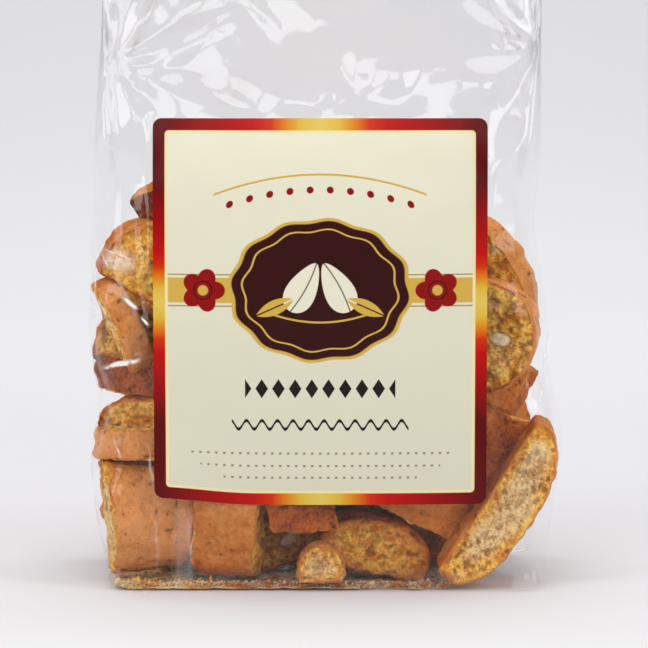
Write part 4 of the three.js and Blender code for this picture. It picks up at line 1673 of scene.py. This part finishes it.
@dataclass
class Label:
    """The paper label: a thin sheet with rounded corners that lies on the film."""

    thickness: float = 0.22 * MM
    gap: float = 0.3 * MM
    corner: float = 2.6 * MM
    columns: int = 100
    rows: int = 116
    wave_height: float = 0.18 * MM
    loose_edge: float = 0.4 * MM  # how far the edge stands off here and there
    curl_out: float = 0.5 * MM  # of the lower left corner
    curl_up: float = 1.9 * MM

    def __post_init__(self) -> None:
        """Reads the label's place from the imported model."""
        self.low, self.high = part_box("label")
        self.middle = (self.low + self.high) / 2
        self.half_width = (self.high.x - self.low.x) / 2
        self.half_height = (self.high.z - self.low.z) / 2

    def build(self, film: bpy.types.Object) -> bpy.types.Object:
        """Models the label on the film.

        Args:
            film: The film that it lies on.

        Returns:
            The label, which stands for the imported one.
        """
        obj = self._sheet()
        way = {"use_negative_direction": False, "use_positive_direction": True}
        modify(obj, "SHRINKWRAP", target=film, wrap_method="PROJECT", use_project_y=True, **way)
        points = points_of(obj)
        points[:, 1] -= self.gap
        paint(obj, "flat", points)
        set_points(obj, self._loosened(points))
        modify(obj, "SOLIDIFY", thickness=self.thickness, offset=1.0)
        paint(obj, "printed", smooth(normals_of(obj)[:, 1], 0.1, -0.1))
        centre = (self.middle.x / MM, self.middle.z / MM)
        shade(obj, PaperFinish(self.half_width / MM, self.half_height / MM, centre).material())
        bpy.ops.object.shade_smooth_by_angle(angle=math.radians(40))
        register(obj, "label")
        return obj

    def _sheet(self) -> bpy.types.Object:
        """A flat upright sheet in front of the bag, with rounded corners."""
        bpy.ops.mesh.primitive_grid_add(
            x_subdivisions=self.columns,
            y_subdivisions=self.rows,
            size=1.0,
            rotation=(math.pi / 2, 0, 0),
        )
        obj = bpy.context.object
        obj.name = "label_sheet"
        obj.scale = (2 * self.half_width, 2 * self.half_height, 1.0)
        obj.location = (self.middle.x, self.low.y - 20 * MM, self.middle.z)
        settle_place(obj)
        points = points_of(obj)
        x, z = points[:, 0] - self.middle.x, points[:, 2] - self.middle.z
        across = np.clip((np.abs(x) - self.half_width) / self.corner + 1.0, 0.0, 1.0)
        up = np.clip((np.abs(z) - self.half_height) / self.corner + 1.0, 0.0, 1.0)
        points[:, 0] += np.sign(x) * self.corner * across * (np.sqrt(1 - up**2 / 2) - 1.0)
        points[:, 2] += np.sign(z) * self.corner * up * (np.sqrt(1 - across**2 / 2) - 1.0)
        set_points(obj, points)
        return obj

    def _loosened(self, points: np.ndarray) -> np.ndarray:
        """The sheet's points with soft waves, loose edges and the lower left corner curled up."""
        x, z = points[:, 0], points[:, 2]
        inside = np.minimum(
            self.half_width - np.abs(x - self.middle.x),
            self.half_height - np.abs(z - self.middle.z),
        )
        loose = smooth(inside, 9 * MM, 0.0) * smooth(Grain(9).at(points, 17 * MM), 0.25, 0.9)
        lift = Grain(3).rough(points, 26 * MM, 2) * self.wave_height + loose * self.loose_edge
        curl = smooth(self.middle.x - x, 20 * MM, self.half_width)
        curl *= smooth(self.middle.z - z, 34 * MM, self.half_height)
        moved = points.copy()
        moved[:, 1] -= np.clip(lift, 0.0, None) + self.curl_out * curl
        moved[:, 2] += self.curl_up * curl
        return moved


# ---- The studio


@dataclass(frozen=True)
class Lamp:
    """A softbox: its place, what it looks at, its size in metres and its power."""

    name: str
    at: tuple[float, float, float]
    looks_at: tuple[float, float, float]
    size: tuple[float, float]
    power: float


@dataclass
class Studio:
    """A pale sweep, large soft lamps and the camera."""

    view_width: float = 194.4 * MM  # width of the view at the label
    distance: float = 900 * MM
    elevation: float = 7.0
    target: tuple[float, float, float] = (-0.0004, -0.034, 0.0825)
    sweep_size: tuple[float, float] = (7.0, 5.4)  # its width, and its length with the bend
    sweep_front: float = -2.6
    bend: float = 0.7
    bend_radius: float = 0.8
    # A paler band behind the bag and a darker top of the wall are painted light and shade for the lamps'
    # falloff; the dark patch of floor in front, out of view, darkens what the film mirrors.
    tones: Sequence[tuple[float, float, Colour]] = (
        (0.2, 0.7, srgb(238, 237, 240)),
        (0.75, 1.25, srgb(226, 225, 228)),
        (-0.12, -0.5, srgb(168, 168, 170)),
    )
    sky: float = 0.05
    lamps: Sequence[Lamp] = (
        Lamp("left", (-0.85, -0.55, 0.45), (0, 0, 0.09), (0.35, 0.9), 4.2),
        Lamp("right", (0.85, -0.5, 0.5), (0, 0, 0.09), (0.35, 0.9), 3.6),
        Lamp("top", (0.0, -0.15, 1.1), (0, 0, 0.1), (1.0, 0.7), 6.0),
        Lamp("front_left", (-0.55, -1.2, 0.75), (0, 0, 0.1), (0.4, 0.6), 2.75),
        Lamp("front_right", (0.6, -1.2, 0.6), (0, 0, 0.1), (0.3, 0.6), 2.45),
        Lamp("head", (0.0, -1.15, 0.72), (0, 0, 0.17), (0.5, 0.3), 1.7),
        Lamp("backdrop", (0.0, 0.5, 1.3), (0, 1.05, 0.0), (3.2, 0.4), 14.5),
    )

    def build(self) -> None:
        """Makes the sweep, the lamps, the sky and the camera."""
        self._sweep()
        for lamp in self.lamps:
            self._lamp(lamp)
        self._sky()
        self._camera()
        bpy.context.scene.view_settings.view_transform = "Standard"

    def _sweep(self) -> None:
        """A floor that curves up into a wall behind."""
        bpy.ops.mesh.primitive_grid_add(x_subdivisions=4, y_subdivisions=80, size=1.0)
        obj = bpy.context.object
        obj.name = "sweep"
        width, length = self.sweep_size
        points = points_of(obj)
        run = (points[:, 1] + 0.5) * length + self.sweep_front
        turn = np.clip((run - self.bend) / self.bend_radius, 0.0, math.pi / 2)
        past = np.clip(run - self.bend - self.bend_radius * math.pi / 2, 0.0, None)
        points[:, 0] *= width
        points[:, 1] = np.minimum(run, self.bend) + self.bend_radius * np.sin(turn)
        points[:, 2] = self.bend_radius * (1.0 - np.cos(turn)) + past
        set_points(obj, points)
        shade(obj, self._paper())
        obj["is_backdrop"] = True

    def _paper(self) -> bpy.types.Material:
        """The sweep's matt paper, paler towards the wall and darker at its top, as painted light and
        shade.
        """
        sh = Shader("sweep_paper")
        place = sh.place()
        _, back, _ = sh.axes(place)
        colour = sh.blend(sh.noise(place, 0.4), srgb(222, 221, 224), srgb(226, 225, 227))
        for low, high, tone in self.tones:
            colour = sh.blend(back.step(low, high), colour, tone)
        surface = {"Base Color": colour, "Roughness": 0.9, "Specular IOR Level": 0.1}
        return sh.finish(sh.solid(surface))

    @staticmethod
    def _lamp(lamp: Lamp) -> None:
        """Adds one softbox."""
        data = bpy.data.lights.new(lamp.name, "AREA")
        data.shape = "RECTANGLE"
        data.size, data.size_y = lamp.size
        data.energy = lamp.power
        aim(add_object(lamp.name, data), lamp.at, lamp.looks_at)

    def _sky(self) -> None:
        """A plain pale sky."""
        world = bpy.data.worlds.new("studio")
        world.use_nodes = True
        inputs = world.node_tree.nodes["Background"].inputs
        inputs["Color"].default_value = (1.0, 1.0, 1.0, 1.0)
        inputs["Strength"].default_value = self.sky
        bpy.context.scene.world = world

    def _camera(self) -> None:
        """Sets the camera in front, a little above, looking slightly down."""
        data = bpy.data.cameras.new("camera")
        data.lens = data.sensor_width / 2 / (self.view_width / 2 / self.distance)
        data.clip_start = 0.01
        obj = add_object("camera", data)
        tilt = math.radians(self.elevation)
        back = Vector((0.0, -math.cos(tilt), math.sin(tilt)))
        aim(obj, Vector(self.target) + back * self.distance, self.target)
        bpy.context.scene.camera = obj


def main() -> None:
    """Builds the biscotti, the crumbs, the film, the label and the studio, in that order."""
    logging.basicConfig(level=logging.INFO, format="%(name)s: %(message)s")
    bpy.ops.object.select_all(action="DESELECT")
    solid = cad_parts["bag"]
    dough = BakedFinish().material()
    space = BagSpace(solid)
    biscotti = Heap(space).build(dough)
    Crumbs(space).build(dough)
    film = Film(solid).build(biscotti, FilmFinish())
    Label().build(film)
    Studio().build()
    str([list(corner) for box in (CAD_BOX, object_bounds()) for corner in box])


if __name__ == "__main__":
    main()
